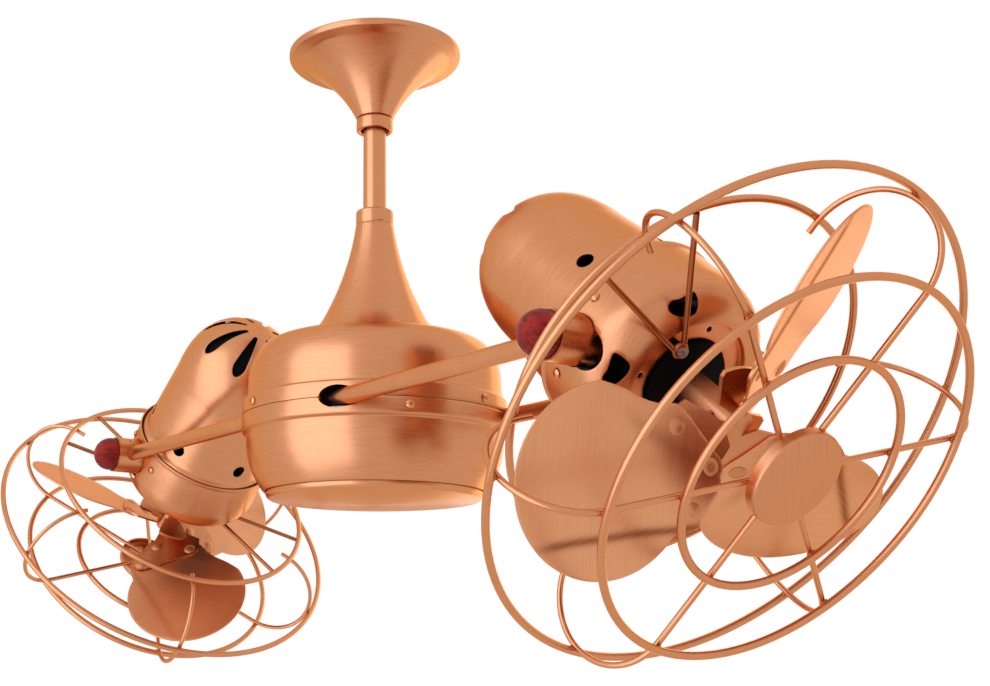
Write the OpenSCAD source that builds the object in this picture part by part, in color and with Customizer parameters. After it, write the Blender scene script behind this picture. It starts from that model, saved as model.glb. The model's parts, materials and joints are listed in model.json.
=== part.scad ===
// Twin head ceiling fan. Millimetres, +Z up, origin at the centre of the
// ceiling plane. X runs along the two support rods, Y along the head pivots.

/* [Ceiling side] */
// Radius of the canopy at the ceiling
canopy_r = 82; // [78:0.5:88]
// Depth from the ceiling to the canopy's small end
canopy_h = 66; // [60:1:75]
// Sheet thickness of the spun covers
sheet = 1.6; // [1.2:0.1:2]
// Outer radius of the downrod
downrod_r = 10.65; // [10:0.05:11.5]
// Wall of the downrod
downrod_wall = 2.3; // [1.8:0.1:3]
// Spacing of the two ceiling screw slots
ceiling_pitch = 88.9; // [80:0.1:96]
// Half width of a ceiling screw slot
ceiling_hole_r = 2.6; // [2.2:0.1:3]
// Radius of the hanger ball
ball_r = 21; // [19:0.5:22]

/* [Centre housing] */
// Outer radius of the band at the seam
band_r = 116.5; // [112:0.5:122]
// Height of the upper and of the lower band
band_h = 14; // [12:0.5:16]
// Distance of the rods below the ceiling
rod_drop = 351; // [340:1:365]
// Radius of the central spindle
spindle_r = 10; // [9:0.5:10]

/* [Arms] */
// Radius of a support rod
rod_r = 7; // [6:0.25:7.5]
// Distance of each rod from the middle plane
rod_y = 83.2; // [82:0.2:86]
// Distance of the head pivots from the centre
pivot_x = 331.3; // [322:1:345]
// Radius of the pivot boss at each rod end
boss_r = 17.5; // [16.5:0.25:18]
// Radius of the wooden knob
knob_r = 16.2; // [15:0.1:16.4]

/* [Heads] */
// Downward tilt of the right head at rest
tilt_right = 41.6; // [30:0.1:55]
// Downward tilt of the left head at rest
tilt_left = 43.1; // [30:0.1:55]
// Radius of the front shell
shell_r = 72.5; // [70:0.5:73.5]
// Distance from the pivot to the pole of the rear dome
dome_s = 175; // [168:1:182]
// Radius of the rear dome at its shoulder
dome_r = 62.4; // [60:0.2:64]
// Radius of the motor's front cover
cover_r = 31.4; // [29:0.2:32]

/* [Guard] */
// Radius of the small front ring
ring_small = 81.6; // [76:0.2:88]
// Radius of the large front ring
ring_front = 136.4; // [132:0.2:140]
// Radius of the equator ring
ring_big = 182.6; // [178:0.2:190]
// Radius of the rear ring
ring_rear = 136.8; // [132:0.2:140]
// Wire radius of the rings
ring_w = 2.6; // [2.2:0.1:3]
// Wire radius of the ribs and the struts
rib_w = 2; // [1.7:0.1:2.3]
// Distance of the front rings ahead of the pivot
front_s = 142; // [138:0.5:146]
// Radius of the front medallion
medal_r = 33.4; // [30:0.2:36]

/* [Blades] */
// Radius of the round blade
blade_rho = 61; // [56:0.5:63]
// Distance of the blade centre from the shaft
blade_c = 100.4; // [98:0.2:102]
// Distance of the blade centre ahead of the pivot
blade_s = 91.5; // [89:0.5:93]
// Pitch of the blades
blade_pitch = 27; // [22:0.5:30]
// Sheet thickness of a blade
blade_t = 1.4; // [1:0.1:2]

/* [Hidden] */
$fn = 96;
copper = [0.78, 0.51, 0.34];
steel = [0.62, 0.63, 0.65];
dark = [0.06, 0.06, 0.07];
wood = [0.45, 0.11, 0.12];
slip = 0.05;   // radial running clearance on a turning shaft
free = 0.35;   // clearance between faces that pass each other
snug = 0.05;   // clearance between parts that are screwed together
weld = 0.3;    // bite of a welded wire

rod_z = -rod_drop;
band_t = 2;
bell_top = rod_z + 192.5;
bell_r = 66;
foot_r = 95;
up_c = [band_r - 28.9, rod_z + 31.6];
up_R = [24.2, 35.1];
top_z = up_c[1] + up_R[1];
throat_r = 28;
low_R = 72;
low_a = acos((low_R - (band_r - 4 - foot_r))/low_R);
bowl_low = rod_z - band_h - 1.8 - low_R*sin(low_a);
bell_end = top_z + 1.3;
bell_waist = [47.2, rod_z + 88];
collar_r = 17.2;
collar_h = 13;
ball_z = -24;
pin_r = 3;
pin_len = 27;
couple_z = bell_top - 24;
couple_r = 14.8;
up_brg = rod_z + 51;
lo_brg = rod_z - 17;
brg_w = 12;
brg_r = 2.1*spindle_r;
sleeve_r = brg_r + 5;
knob_y = 98;
boss_in = 62;
stub_r = 3.9;
notch_s = 12;
notch_r = 14;
hole_r = boss_r + 0.6;
rib_s = front_s - ring_w - rib_w + weld;
loop_c = (ring_front + 2*ring_w + ring_big - 2*ring_w)/2 - 27.9;
loop_r = ring_big - ring_w - rib_w + weld - loop_c;
loop_s = rib_s - loop_r;
rear_s = loop_s - sqrt(pow(loop_r + ring_w + rib_w - weld, 2) - pow(ring_rear - loop_c, 2));
leg_s = rear_s + 1.2;

function arc(cx, cy, r, a, b, n) = [for (i = [0:n]) [cx + r*cos(a + (b - a)*i/n), cy + r*sin(a + (b - a)*i/n)]];
function circ3(p, q, s) = let (
  d = 2*(p[0]*(q[1] - s[1]) + q[0]*(s[1] - p[1]) + s[0]*(p[1] - q[1])),
  pp = p*p, qq = q*q, ss = s*s)
  [(pp*(q[1] - s[1]) + qq*(s[1] - p[1]) + ss*(p[1] - q[1]))/d,
   (pp*(s[0] - q[0]) + qq*(p[0] - s[0]) + ss*(q[0] - p[0]))/d];
function bend(p, q, s, n) = let (c = circ3(p, q, s), r = norm(p - c),
  a = atan2(p[1] - c[1], p[0] - c[0]), b0 = atan2(s[1] - c[1], s[0] - c[0]),
  b = b0 - a > 180 ? b0 - 360 : b0 - a < -180 ? b0 + 360 : b0) arc(c[0], c[1], r, a, b, n);
function rev(v) = [for (i = [len(v) - 1:-1:0]) v[i]];
function shift(v, dx, dy) = [for (p = v) [p[0] + dx, p[1] + dy]];

module ring(r, R, a, b) { rotate_extrude() translate([r, a]) square([R - r, b - a]); }
module torus(R, w, s) { translate([0, 0, s]) rotate_extrude() translate([R, 0]) circle(w, $fn = 32); }
module slab(x, y, z) { translate([-x/2, -y/2, 0]) cube([x, y, z]); }
module along_x(r, a, b) { translate([a, 0, 0]) rotate([0, 90, 0]) cylinder(r = r, h = b - a); }
module along_y(r, a, b) { translate([0, a, 0]) rotate([-90, 0, 0]) cylinder(r = r, h = b - a); }

// ---------- ceiling side ----------
cradle_r = ball_r + 5;
cradle_top = ball_z - 5;
cradle_low = ball_z - 14;

module ceiling_bracket() color(steel) {
  difference() {
    union() {
      translate([0, 0, -2.5]) slab(ceiling_pitch + 20, 30, 2.5);
      for (s = [-1, 1]) translate([s*(cradle_r - 1.25), 0, cradle_low]) slab(2.5, 24, -cradle_low - 1);
      ring(ball_r - 6, cradle_r - 0.5, cradle_low, cradle_top);
    }
    for (s = [-1, 1]) translate([s*ceiling_pitch/2, 0, -3]) {
      for (d = [-3, 3]) translate([d, 0, 0]) cylinder(r = ceiling_hole_r, h = 4);
      slab(6, 2*ceiling_hole_r, 4);
    }
    translate([0, 0, -3]) cylinder(r = 12, h = 4);
    translate([0, 0, ball_z]) sphere(ball_r + snug);
    translate([0, 0, cradle_low - 1]) cylinder(r = ball_r - 4, h = 12);
  }
}
module hanger_ball() color(dark) difference() {
  translate([0, 0, ball_z]) sphere(ball_r);
  translate([0, 0, ball_z + 9]) slab(60, 60, 30);
  translate([0, 0, ball_z - 42]) slab(60, 60, 25);
  translate([0, 0, ball_z - 30]) cylinder(r = downrod_r + snug, h = 60);
  translate([0, 0, ball_z]) along_x(pin_r + snug, -pin_len/2 - snug, pin_len/2 + snug);
}
module cross_pins() color(steel) for (z = [ball_z, couple_z])
  translate([0, 0, z]) along_x(pin_r, -pin_len/2, pin_len/2);
module canopy() color(copper) {
  rim = canopy_r - 12.3; foot = collar_r;
  p = [rim, -8]; q = [0.456*canopy_r, -0.53*canopy_h]; e = [foot, -canopy_h];
  out = concat([[0.01, 0], [canopy_r, 0], [canopy_r, -3.5]], arc(canopy_r - 3, -3.5, 3, 0, -70, 4),
    bend(p, q, e, 14));
  inn = concat([[0, 1], [canopy_r - sheet, 1], [canopy_r - sheet, -3.5]],
    arc(canopy_r - 3, -3.5, 3 - sheet, 0, -70, 3),
    shift(bend(p, q, e, 14), -sheet, sheet*0.6));
  difference() {
    rotate_extrude() difference() {
      polygon(concat(out, [[0.01, -canopy_h]]));
      polygon(concat(inn, [[0, -canopy_h + sheet*0.6]]));
    }
    translate([0, 0, -canopy_h - 1]) cylinder(r = downrod_r + free, h = 12);
  }
}
module canopy_collar() color(copper) difference() {
  rotate_extrude() difference() {
    polygon(concat([[0, -canopy_h], [collar_r, -canopy_h]],
      arc(collar_r - 4, -canopy_h - collar_h + 4, 4, 0, -90, 5), [[0, -canopy_h - collar_h]]));
  }
  translate([0, 0, -canopy_h - collar_h - 1]) cylinder(r = downrod_r + snug, h = collar_h + 2);
  translate([0, 0, -canopy_h - collar_h - 1]) cylinder(r = downrod_r + 2.4, h = 8);
  translate([0, 0, -canopy_h - 4]) along_y(1.6, -collar_r - 2, 0);
}
module downrod() color(copper) difference() {
  translate([0, 0, couple_z - 14]) cylinder(r = downrod_r, h = -14 - couple_z + 14);
  translate([0, 0, couple_z - 15]) cylinder(r = downrod_r - downrod_wall, h = 400);
  for (z = [ball_z, couple_z]) translate([0, 0, z]) along_x(pin_r + snug, -20, 20);
}
module coupling() color(steel) difference() {
  translate([0, 0, couple_z - 38]) cylinder(r = couple_r, h = 50);
  translate([0, 0, couple_z - 14 - snug]) cylinder(r = downrod_r + snug, h = 60);
  translate([0, 0, couple_z - 39]) cylinder(r = spindle_r + snug, h = 20);
  translate([0, 0, couple_z - 39]) cylinder(r = spindle_r - 3.5, h = 60);
  translate([0, 0, couple_z]) along_x(pin_r + snug, -20, 20);
}
module bell_cover() color(copper) {
  a = [collar_r + 0.2, bell_top - 14.5]; m = [29.5, rod_z + 128];
  foot = bend(bell_waist, [54.6, rod_z + 78], [bell_r, bell_end], 5);
  rotate_extrude() difference() {
    polygon(concat([[downrod_r + snug, bell_top], [collar_r - 1.5, bell_top]],
      arc(collar_r - 1.5, bell_top - 1.5, 1.5, 90, 0, 3),
      [[collar_r, bell_top - 12], [collar_r - 1, bell_top - 13], [collar_r - 1, bell_top - 14]],
      bend(a, m, bell_waist, 14), [for (i = [1:5]) foot[i]], [[0, bell_end], [0, bell_top]]));
    polygon(concat([[downrod_r + snug, bell_top + 1], [downrod_r + snug, bell_top - 6],
      [collar_r - sheet, bell_top - 6], [collar_r - sheet, bell_top - 14.5]],
      shift(bend(a, m, bell_waist, 14), -sheet, -0.2), shift([for (i = [1:5]) foot[i]], -1.2, -1.2),
      [[-1, bell_end - 1.2], [-1, bell_top + 1]]));
  }
}
spin_top = couple_z - 20;
nut_top = lo_brg - brg_w - 0.8;
module spindle() color(steel) difference() {
  union() {
    translate([0, 0, rod_z - 53]) cylinder(r = spindle_r, h = spin_top - rod_z + 53);
    ring(spindle_r - 1, spindle_r + 4, up_brg + 0.8, up_brg + 5);
  }
  translate([0, 0, rod_z - 54]) cylinder(r = spindle_r - 4, h = 300);
}
module spindle_nut() color(steel) difference() {
  translate([0, 0, nut_top - 8]) intersection() {
    cylinder(r = spindle_r + 5, h = 8);
    linear_extrude(8) polygon([for (i = [0:5]) 1.07*(spindle_r + 5)*[cos(60*i), sin(60*i)]]);
  }
  translate([0, 0, nut_top - 9]) cylinder(r = spindle_r + snug, h = 10);
}
drum_in = sleeve_r - 4;
module brush_block() color(dark) difference() {
  union() {
    ring(spindle_r - 1, spindle_r + 5, rod_z - 52, nut_top - 8.6);
    for (a = [0, 180]) rotate(a) translate([(spindle_r + drum_in)/2, 0, rod_z - 49])
      slab(drum_in - spindle_r - 2*free, 7, 8);
  }
  translate([0, 0, rod_z - 60]) cylinder(r = spindle_r + snug, h = 60);
}

// ---------- turning housing ----------
function upper_out(t) = concat([[0, top_z - t], [up_c[0], top_z - t]],
  [for (i = [1:10]) [up_c[0] + (up_R[0] - t)*sin(9*i), up_c[1] + (up_R[1] - t)*cos(9*i)]],
  [[band_r - 4 - t, rod_z + band_h - 0.4]]);
function lower_out(t) = concat([[band_r - 3.7 - t, rod_z - band_h - 1.2]],
  arc(band_r - 4 - low_R, rod_z - band_h - 1.8, low_R - t, 0, -low_a, 9));
slot_r = 9.3;
slot_d = 6.4;
module rod_slots() {
  a = rod_r + 0.6; lean = acos((a - slot_r)/slot_d); edge = [cos(lean), sin(lean)];
  for (sy = [0, 1], sx = [0, 1]) mirror([sx, 0, 0]) mirror([0, sy, 0]) translate([45, rod_y, rod_z]) {
    along_x(a, 0, 90);
    translate([0, slot_d, 0]) along_x(slot_r, 0, 90);
    rotate([90, 0, 90]) linear_extrude(90)
      polygon([[a*edge[0], -a*edge[1]], [slot_d + slot_r*edge[0], -slot_r*edge[1]],
        [slot_d, 0] + slot_r*edge, a*edge]);
  }
}
up_screw = [-97, 16, 146];
low_screw = [-21, 99, -141];
module band_screws(r, a, b) {
  for (g = up_screw) rotate(g) translate([0, 0, rod_z + band_h/2 - 0.6]) along_x(r, a, b);
  for (g = low_screw) rotate(g) translate([0, 0, rod_z - band_h/2 + 0.6]) along_x(r, a, b);
}
module housing_upper() color(copper) difference() {
  rotate_extrude() difference() {
    polygon(concat(upper_out(0), [[band_r - 0.6, rod_z + band_h - 1], [band_r, rod_z + band_h - 1.8],
      [band_r, rod_z + 0.2], [0, rod_z + 0.2]]));
    polygon(concat(upper_out(sheet), [[band_r - band_t, rod_z + band_h - 4.2], [band_r - band_t, rod_z - 1],
      [0, rod_z - 1]]));
  }
  translate([0, 0, top_z - 5]) cylinder(r = throat_r, h = 10);
  rod_slots();
  band_screws(2.1, band_r - 16, band_r + 14);
}
module housing_lower() color(copper) difference() {
  rotate_extrude() difference() {
    polygon(concat([[0, rod_z - 0.2], [band_r, rod_z - 0.2], [band_r, rod_z - band_h + 0.8]], lower_out(0),
      [[0, bowl_low]]));
    polygon(concat([[0, rod_z + 1], [band_r - band_t, rod_z + 1], [band_r - band_t, rod_z - band_h + 1]],
      lower_out(sheet), [[foot_r - sheet - 4, bowl_low - 1], [0, bowl_low - 1]]));
  }
  rod_slots();
  band_screws(2.1, band_r - 16, band_r + 14);
}
module bottom_plate() color(copper) rotate_extrude() difference() {
  polygon(concat([[0, bowl_low - 0.1], [foot_r - 0.5, bowl_low - 0.1]],
    arc(foot_r - 7.5, bowl_low - 1.6, 7, 0, -78, 6),
    bend([foot_r - 8, bowl_low - 8.5], [45, bowl_low - 10.3], [0, bowl_low - 11], 6)));
  polygon(concat([[-1, bowl_low + 1], [foot_r - 3, bowl_low + 1], [foot_r - 3, bowl_low - 2.2]],
    arc(foot_r - 7.5, bowl_low - 1.6, 5.2, -10, -78, 5),
    bend([foot_r - 8.2, bowl_low - 6.8], [45, bowl_low - 8.6], [-1, bowl_low - 9.3], 6)));
}
screw_head_r = 3.6;
screw_dome_r = 4.7;
module round_screw(seat, length) rotate([0, 90, 0]) difference() {
  rotate_extrude() {
    translate([0, seat - length]) square([1.9, length + 0.5]);
    intersection() {
      translate([0, seat]) square([screw_head_r, 3]);
      translate([0, seat - 2.4]) circle(screw_dome_r);
    }
  }
  for (a = [0, 90]) rotate(a) translate([0, 0, seat + 1.5]) slab(3.6, 0.8, 3);
}
module housing_screws() color(copper) for (u = [0, 1]) for (g = u == 0 ? up_screw : low_screw)
  rotate(g) translate([0, 0, rod_z + (u == 0 ? 1 : -1)*(band_h/2 - 0.6)]) round_screw(band_r + 0.02, 8);
hoop_r = band_r - band_t - 0.2;
module hub_frame() color([0.5, 0.5, 0.52]) difference() {
  union() {
    ring(brg_r - 3, sleeve_r, lo_brg - brg_w - 4, up_brg + 4);
    rotate_extrude() polygon([[brg_r, rod_z - 22], [band_r - 6.2, rod_z - 22], [band_r - 6.2, rod_z - 12],
      [hoop_r, rod_z - 12], [hoop_r, rod_z + band_h - 5], [hoop_r - 3, rod_z + band_h - 5],
      [hoop_r - 3, rod_z - 9], [band_r - 9.2, rod_z - 9], [band_r - 9.2, rod_z - 16], [brg_r, rod_z - 16]]);
    for (sx = [-1, 1], sy = [-1, 1]) translate([sx*37, sy*rod_y, rod_z - 17])
      slab(18, 2*rod_r + 11, 17 + rod_r + 4.5);
  }
  for (sy = [-1, 1]) translate([0, sy*rod_y, rod_z]) along_x(rod_r + snug, -60, 60);
  translate([0, 0, lo_brg - brg_w - 5]) cylinder(r = brg_r + snug, h = brg_w + 5);
  translate([0, 0, up_brg - brg_w]) cylinder(r = brg_r + snug, h = brg_w + 5);
  for (g = [0:90:270]) rotate(g + 45) translate([68, 0, rod_z - 23]) cylinder(r = 19, h = 8);
  for (sx = [0, 1], sy = [0, 1]) mirror([sx, 0, 0]) mirror([0, sy, 0])
    translate([58, rod_y - rod_r - 1.5, rod_z - rod_r - 1]) cube([60, 30, 40]);
  band_screws(1.9 + snug, band_r - 16, band_r + 14);
}
module bearings() color(steel) for (z = [up_brg, lo_brg]) translate([0, 0, z - brg_w]) difference() {
  ring(spindle_r + slip, brg_r, 0, brg_w);
  for (s = [-1, brg_w - 1]) ring(spindle_r + 3, brg_r - 3, s, s + 2);
}
module slip_ring() color([0.7, 0.5, 0.2]) difference() {
  ring(drum_in, sleeve_r + 1, rod_z - 52, lo_brg - brg_w - 4 - snug);
  for (z = [-49.5, -43.5, -37.5]) ring(sleeve_r, sleeve_r + 3, rod_z + z, rod_z + z + 2.5);
}
rod_end = pivot_x - 8;
module support_rods() color(copper) for (sy = [-1, 1]) translate([0, sy*rod_y, rod_z]) difference() {
  along_x(rod_r, -rod_end, rod_end);
  along_x(rod_r - 1.8, -rod_end - 1, rod_end + 1);
}
module pivot_bosses() color(copper) for (sx = [-1, 1], sy = [-1, 1])
  translate([sx*pivot_x, 0, rod_z]) mirror([0, sy < 0 ? 1 : 0, 0]) difference() {
  union() {
    along_y(boss_r, boss_in, knob_y - 1);
    along_y(boss_r - 0.6, boss_in - 0.5, knob_y);
  }
  along_y(stub_r + free, 0, 200);
  along_y(knob_r + free, rod_y + rod_r + 1, 200);
  translate([0, rod_y, 0]) along_x(rod_r + snug, sx > 0 ? -40 : 8 - 0.4, sx > 0 ? -8 + 0.4 : 40);
  translate([sx*-(boss_r - 6), rod_y, 0]) cylinder(r = 2, h = 30);
}

// ---------- knobs ----------
module knob_at(sx, sy) { translate([sx*pivot_x, 0, rod_z]) mirror([0, sy < 0 ? 1 : 0, 0]) children(); }
knob_c = knob_y + 3.5;
module knob() color(wood) rotate([-90, 0, 0]) rotate_extrude() difference() {
  translate([0, knob_c]) circle(knob_r);
  translate([-40, 0]) square([40, 200]);
  square([40, rod_y + rod_r + 1.5]);
  square([stub_r + snug, knob_c + 9]);
  translate([0, knob_c + 3]) square([4.9 + snug, 6]);
}
module knob_screw() color(steel) {
  along_y(stub_r, 47.5, knob_c + 8.5);
  along_y(4.9, knob_c + 3.5, knob_c + 8.5);
}
module knob_right_front() knob_at(1, -1) knob();
module knob_right_rear() knob_at(1, 1) knob();
module knob_left_front() knob_at(-1, -1) knob();
module knob_left_rear() knob_at(-1, 1) knob();
module screw_right_front() knob_at(1, -1) knob_screw();
module screw_right_rear() knob_at(1, 1) knob_screw();
module screw_left_front() knob_at(-1, -1) knob_screw();
module screw_left_rear() knob_at(-1, 1) knob_screw();

// ---------- heads: local +Z is the head axis, origin at the pivot ----------
module head(sx) {
  translate([sx*pivot_x, 0, rod_z]) rotate([0, sx*(90 + (sx > 0 ? tilt_right : tilt_left)), 0]) children();
}
shoulder_s = 12;
lip_r = 47;
lip_s = shoulder_s + 27;
floor_s = lip_s - 6;
skirt_r = shell_r - sheet - snug;
function dome(t) = [for (i = [0:16]) let (a = 90*i/16)
  [(dome_r - t)*pow(sin(a), 0.87), -100 - (dome_s - 100 - t)*pow(cos(a), 0.8)]];
arm_a = [66, 114, -66, -114];
module shell_holes(r, a, b) { for (g = arm_a) rotate(g) translate([0, 0, -7]) along_x(r, a, b); }
module boss_windows() for (s = [-1, 1]) {
  along_y(hole_r, s > 0 ? 40 : -90, s > 0 ? 90 : -40);
  translate([0, 0, notch_s]) along_y(notch_r, s > 0 ? 40 : -90, s > 0 ? 90 : -40);
}
module rear_shell(vent) difference() {
  rotate_extrude() difference() {
    polygon(concat(dome(0), [[dome_r + 5, -30], [skirt_r, -26], [skirt_r, 1], [0, 1]]));
    polygon(concat(dome(sheet), [[dome_r + 5 - sheet, -29.5], [skirt_r - sheet, -25.5],
      [skirt_r - sheet, 2], [0, 2]]));
  }
  for (k = [0:7]) rotate(vent + 45*k) {
    translate([48, 0, -dome_s - 5]) cylinder(r = 6.6, h = 50);
    translate([17, 0, -dome_s - 5]) cylinder(r = 2, h = 30);
    translate([0, 0, -dome_s - 5]) linear_extrude(45) polygon([[17, -2], [47, -6.5], [47, 6.5], [17, 2]]);
  }
  for (k = [0:5]) rotate(-127 + 60*k) translate([0, 0, -44]) along_x(6.4, 40, 90);
  translate([0, 0, -dome_s - 5]) cylinder(r = 3, h = 20);
  shell_holes(2.1, 55, 90);
  boss_windows();
}
module front_shell(v) difference() {
  rotate_extrude() difference() {
    polygon(concat([[0, -26], [shell_r + 1.2, -26], [shell_r + 1.2, -23.5], [shell_r, -22.5],
      [shell_r, shoulder_s]],
      [for (i = [1:8]) [lip_r + (shell_r - lip_r)*cos(90*i/8), shoulder_s + (lip_s - shoulder_s)*sin(90*i/8)]],
      [[lip_r - 0.5, lip_s], [lip_r - 0.5, floor_s + sheet], [0, floor_s + sheet]]));
    polygon(concat([[-1, -27], [shell_r - sheet, -27], [shell_r - sheet, shoulder_s]],
      [for (i = [1:8]) [lip_r + (shell_r - sheet - lip_r)*cos(90*i/8),
        shoulder_s + (lip_s - sheet - shoulder_s)*sin(90*i/8)]],
      [[lip_r + 1.2, lip_s - sheet], [lip_r + 1.2, floor_s], [-1, floor_s]]));
  }
  translate([0, 0, floor_s - 2]) cylinder(r = cover_r + 1, h = 6);
  for (g = [0, 180]) rotate(v + g) translate([eye_r, 0, floor_s - 2]) cylinder(r = 4.2 + free, h = 6);
  for (k = [0:3]) rotate(2 + 90*k) translate([39.5, 0, floor_s - 2]) cylinder(r = 2.1, h = 6);
  for (k = [0:5]) rotate(-88 + 60*k) translate([62, 0, 30]) rotate([0, 42, 0]) {
    translate([-3.5, -5, -12]) cylinder(r = 5.5, h = 24);
    translate([-3.5, 5, -12]) cylinder(r = 5.5, h = 24);
    translate([4, 0, -12]) cylinder(r = 5.5, h = 24);
    translate([-9, -5, -12]) cube([11, 10, 24]);
  }
  shell_holes(2.1, 60, 90);
  boss_windows();
}
eye_r = cover_r + 3.2;
module motor(v) difference() {
  union() {
    ring(0, 44, -58, 20);
    rotate_extrude() polygon(concat([[0, 19], [44, 19], [44, 21], [40, floor_s - 1], [cover_r, floor_s - 1]],
      arc(cover_r - 3, lip_s - 3, 3, 0, 90, 4), [[12, lip_s + 2.6], [0, lip_s + 2.6]]));
    for (g = [0, 180]) rotate(v + g) translate([eye_r, 0, floor_s - 4])
      cylinder(r = 4.2, h = leg_s - rib_w - floor_s + 4 - snug);
    ring(0, 20, -66, -57);
  }
  translate([0, 0, -50]) cylinder(r = 26.3, h = 62);
  translate([0, 0, -90]) cylinder(r = 6 + slip, h = 200);
  for (k = [0:11]) rotate(30*k) translate([34, 0, -60]) cylinder(r = 3.4, h = 6);
  for (g = [0, 180]) rotate(v + g) translate([eye_r, 0, floor_s]) cylinder(r = 1.5 + snug, h = 40);
}
module yoke() difference() {
  union() {
    ring(44 + snug, 48, -10, 10);
    for (s = [-1, 1]) along_y(12, s > 0 ? 46 : -(boss_in - 0.9), s > 0 ? boss_in - 0.9 : -46);
    for (g = arm_a) rotate(g) translate([46.5, -5, -11]) cube([skirt_r - sheet - 0.4 - 46.5, 10, 8]);
  }
  translate([0, 0, -20]) cylinder(r = 44 + snug, h = 40);
  along_y(stub_r + slip, -80, 80);
  shell_holes(1.9 + snug, 40, 90);
}
module shell_screws() for (g = arm_a) rotate(g) translate([0, 0, -7]) round_screw(shell_r + 0.12, 8);
module guard_rings() {
  torus(ring_small, ring_w, front_s);
  torus(ring_front, ring_w, front_s);
  torus(ring_big, ring_w, loop_s);
  torus(ring_rear, ring_w, rear_s);
}
module guard_ribs(v) for (k = [0:5]) rotate(v + 60*k) {
  translate([0, 0, rib_s]) along_x(rib_w, 9, loop_c);
  translate([loop_c, 0, loop_s]) rotate([90, 0, 0]) rotate(-90) rotate_extrude(angle = 180)
    translate([loop_r, 0]) circle(rib_w, $fn = 32);
  translate([0, 0, loop_s - loop_r]) along_x(rib_w, loop_c - 6, loop_c);
}
strut_a = 15.3;
module struts(v) for (g = [0, 180]) rotate(v + g) difference() {
  union() {
    for (s = [-1, 1]) {
      x1 = (ring_rear - ring_w + weld)*cos(strut_a); y1 = s*(ring_rear - ring_w + weld)*sin(strut_a);
      x0 = eye_r + 4; y0 = s*4.4; n = norm([x1 - x0, y1 - y0]);
      translate([x0, y0, leg_s]) rotate(atan2(y1 - y0, x1 - x0)) along_x(rib_w, 0, n);
    }
    translate([eye_r, 0, leg_s]) rotate_extrude() translate([4.2, 0]) circle(rib_w, $fn = 32);
  }
}
module strut_screws(v) for (g = [0, 180]) rotate(v + g) translate([eye_r, 0, 0]) difference() {
  union() {
    translate([0, 0, leg_s - 6]) cylinder(r = 1.5, h = 9);
    translate([0, 0, leg_s + rib_w + 0.05]) cylinder(r = 4, h = 1.8);
  }
  translate([0, 0, leg_s + rib_w + 0.9]) slab(5, 0.9, 3);
}
medal_s = rib_s + 10.6;
module medallion() {
  rotate_extrude() difference() {
    polygon(concat([[0, rib_s + rib_w - 0.5], [medal_r, rib_s + rib_w - 0.5]],
      arc(medal_r - 3, medal_s - 4, 3, 0, 75, 4),
      bend([medal_r - 3, medal_s - 1], [medal_r/2, medal_s - 0.3], [0, medal_s], 4)));
    polygon([[-1, rib_s], [medal_r - sheet, rib_s], [medal_r - sheet, medal_s - 4],
      [medal_r - 3.6, medal_s - 2.4], [-1, medal_s - 1.6]]);
  }
}
// ---------- spinning set ----------
hub_s = lip_s + 4;
hub_r = 11.8;
lobe_r = 36;
rivet_r = 6;
plate_s = blade_s - 15.5;
module spin_shaft() {
  translate([0, 0, -64]) cylinder(r = 6, h = plate_s + 4 + 64);
  ring(5, 25.7, -46, 8);
  translate([0, 0, plate_s + 3]) cylinder(r = 4.5, h = 7);
}
module blade_frame(k) rotate(120*k) translate([blade_c, 0, blade_s]) rotate([blade_pitch, 0, 0]) children();
module hub() difference() {
  union() {
    ring(0, hub_r, hub_s, plate_s + 14);
    for (k = [0:2]) rotate(120*k) translate([0, 0, plate_s - 1.5]) linear_extrude(3)
      polygon(concat([[0, -6], [0, 6]], arc(0, 0, lobe_r - 2.5, 38, 37, 1), arc(0, 0, lobe_r, 34, -14, 8),
        arc(0, 0, lobe_r - 2.5, -17, -18, 1)));
    for (k = [0:2]) blade_frame(k) translate([0, 0, -blade_t/2 - 1.85]) linear_extrude(1.8) union() {
      polygon([[-blade_c + 9, -7], [-80, -19], [-68, -30], [-54, -26], [-50, -18], [-46, 34], [-52, 44],
        [-64, 36], [-74, 22], [-blade_c + 9, 9]]);
      for (p = hole_xy) translate(p) circle(7.5);
    }
  }
  translate([0, 0, hub_s - 5]) cylinder(r = 6 + snug, h = plate_s + 9 + snug - hub_s);
  translate([0, 0, hub_s - 5]) cylinder(r = 4.5 + snug, h = plate_s + 15 + snug - hub_s);
  for (k = [0:2]) blade_frame(k) blade_holes(1.9 + snug);
}
hole_xy = [[-57, -16.5], [-73, 16], [-54, 37]];
module blade_holes(r) for (p = hole_xy) translate([p[0], p[1], -8]) cylinder(r = r, h = 16);
module blade(k) blade_frame(k) difference() {
  union() {
    translate([0, 0, -blade_t/2]) cylinder(r = blade_rho, h = blade_t, $fn = 128);
    translate([0, 0, -blade_t/2]) linear_extrude(blade_t)
      polygon([[-10, 0], [-40, -44], [-62, -30], [-70, -14], [-78, 4], [-83, 17], [-77, 29], [-68, 39],
        [-54, 49], [-36, 48]]);
  }
  blade_holes(1.9 + snug);
}
module rivets() for (k = [0:2]) blade_frame(k) for (p = hole_xy) translate([p[0], p[1], 0]) {
  translate([0, 0, -blade_t/2 - 2.6]) cylinder(r = 1.9, h = blade_t + 3);
  for (m = [0, 1]) translate([0, 0, m == 0 ? blade_t/2 + 0.03 : -blade_t/2 - 1.88]) mirror([0, 0, m])
    intersection() {
    cylinder(r = rivet_r, h = 3);
    translate([0, 0, -10.6]) sphere(12.3);
  }
}

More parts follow.
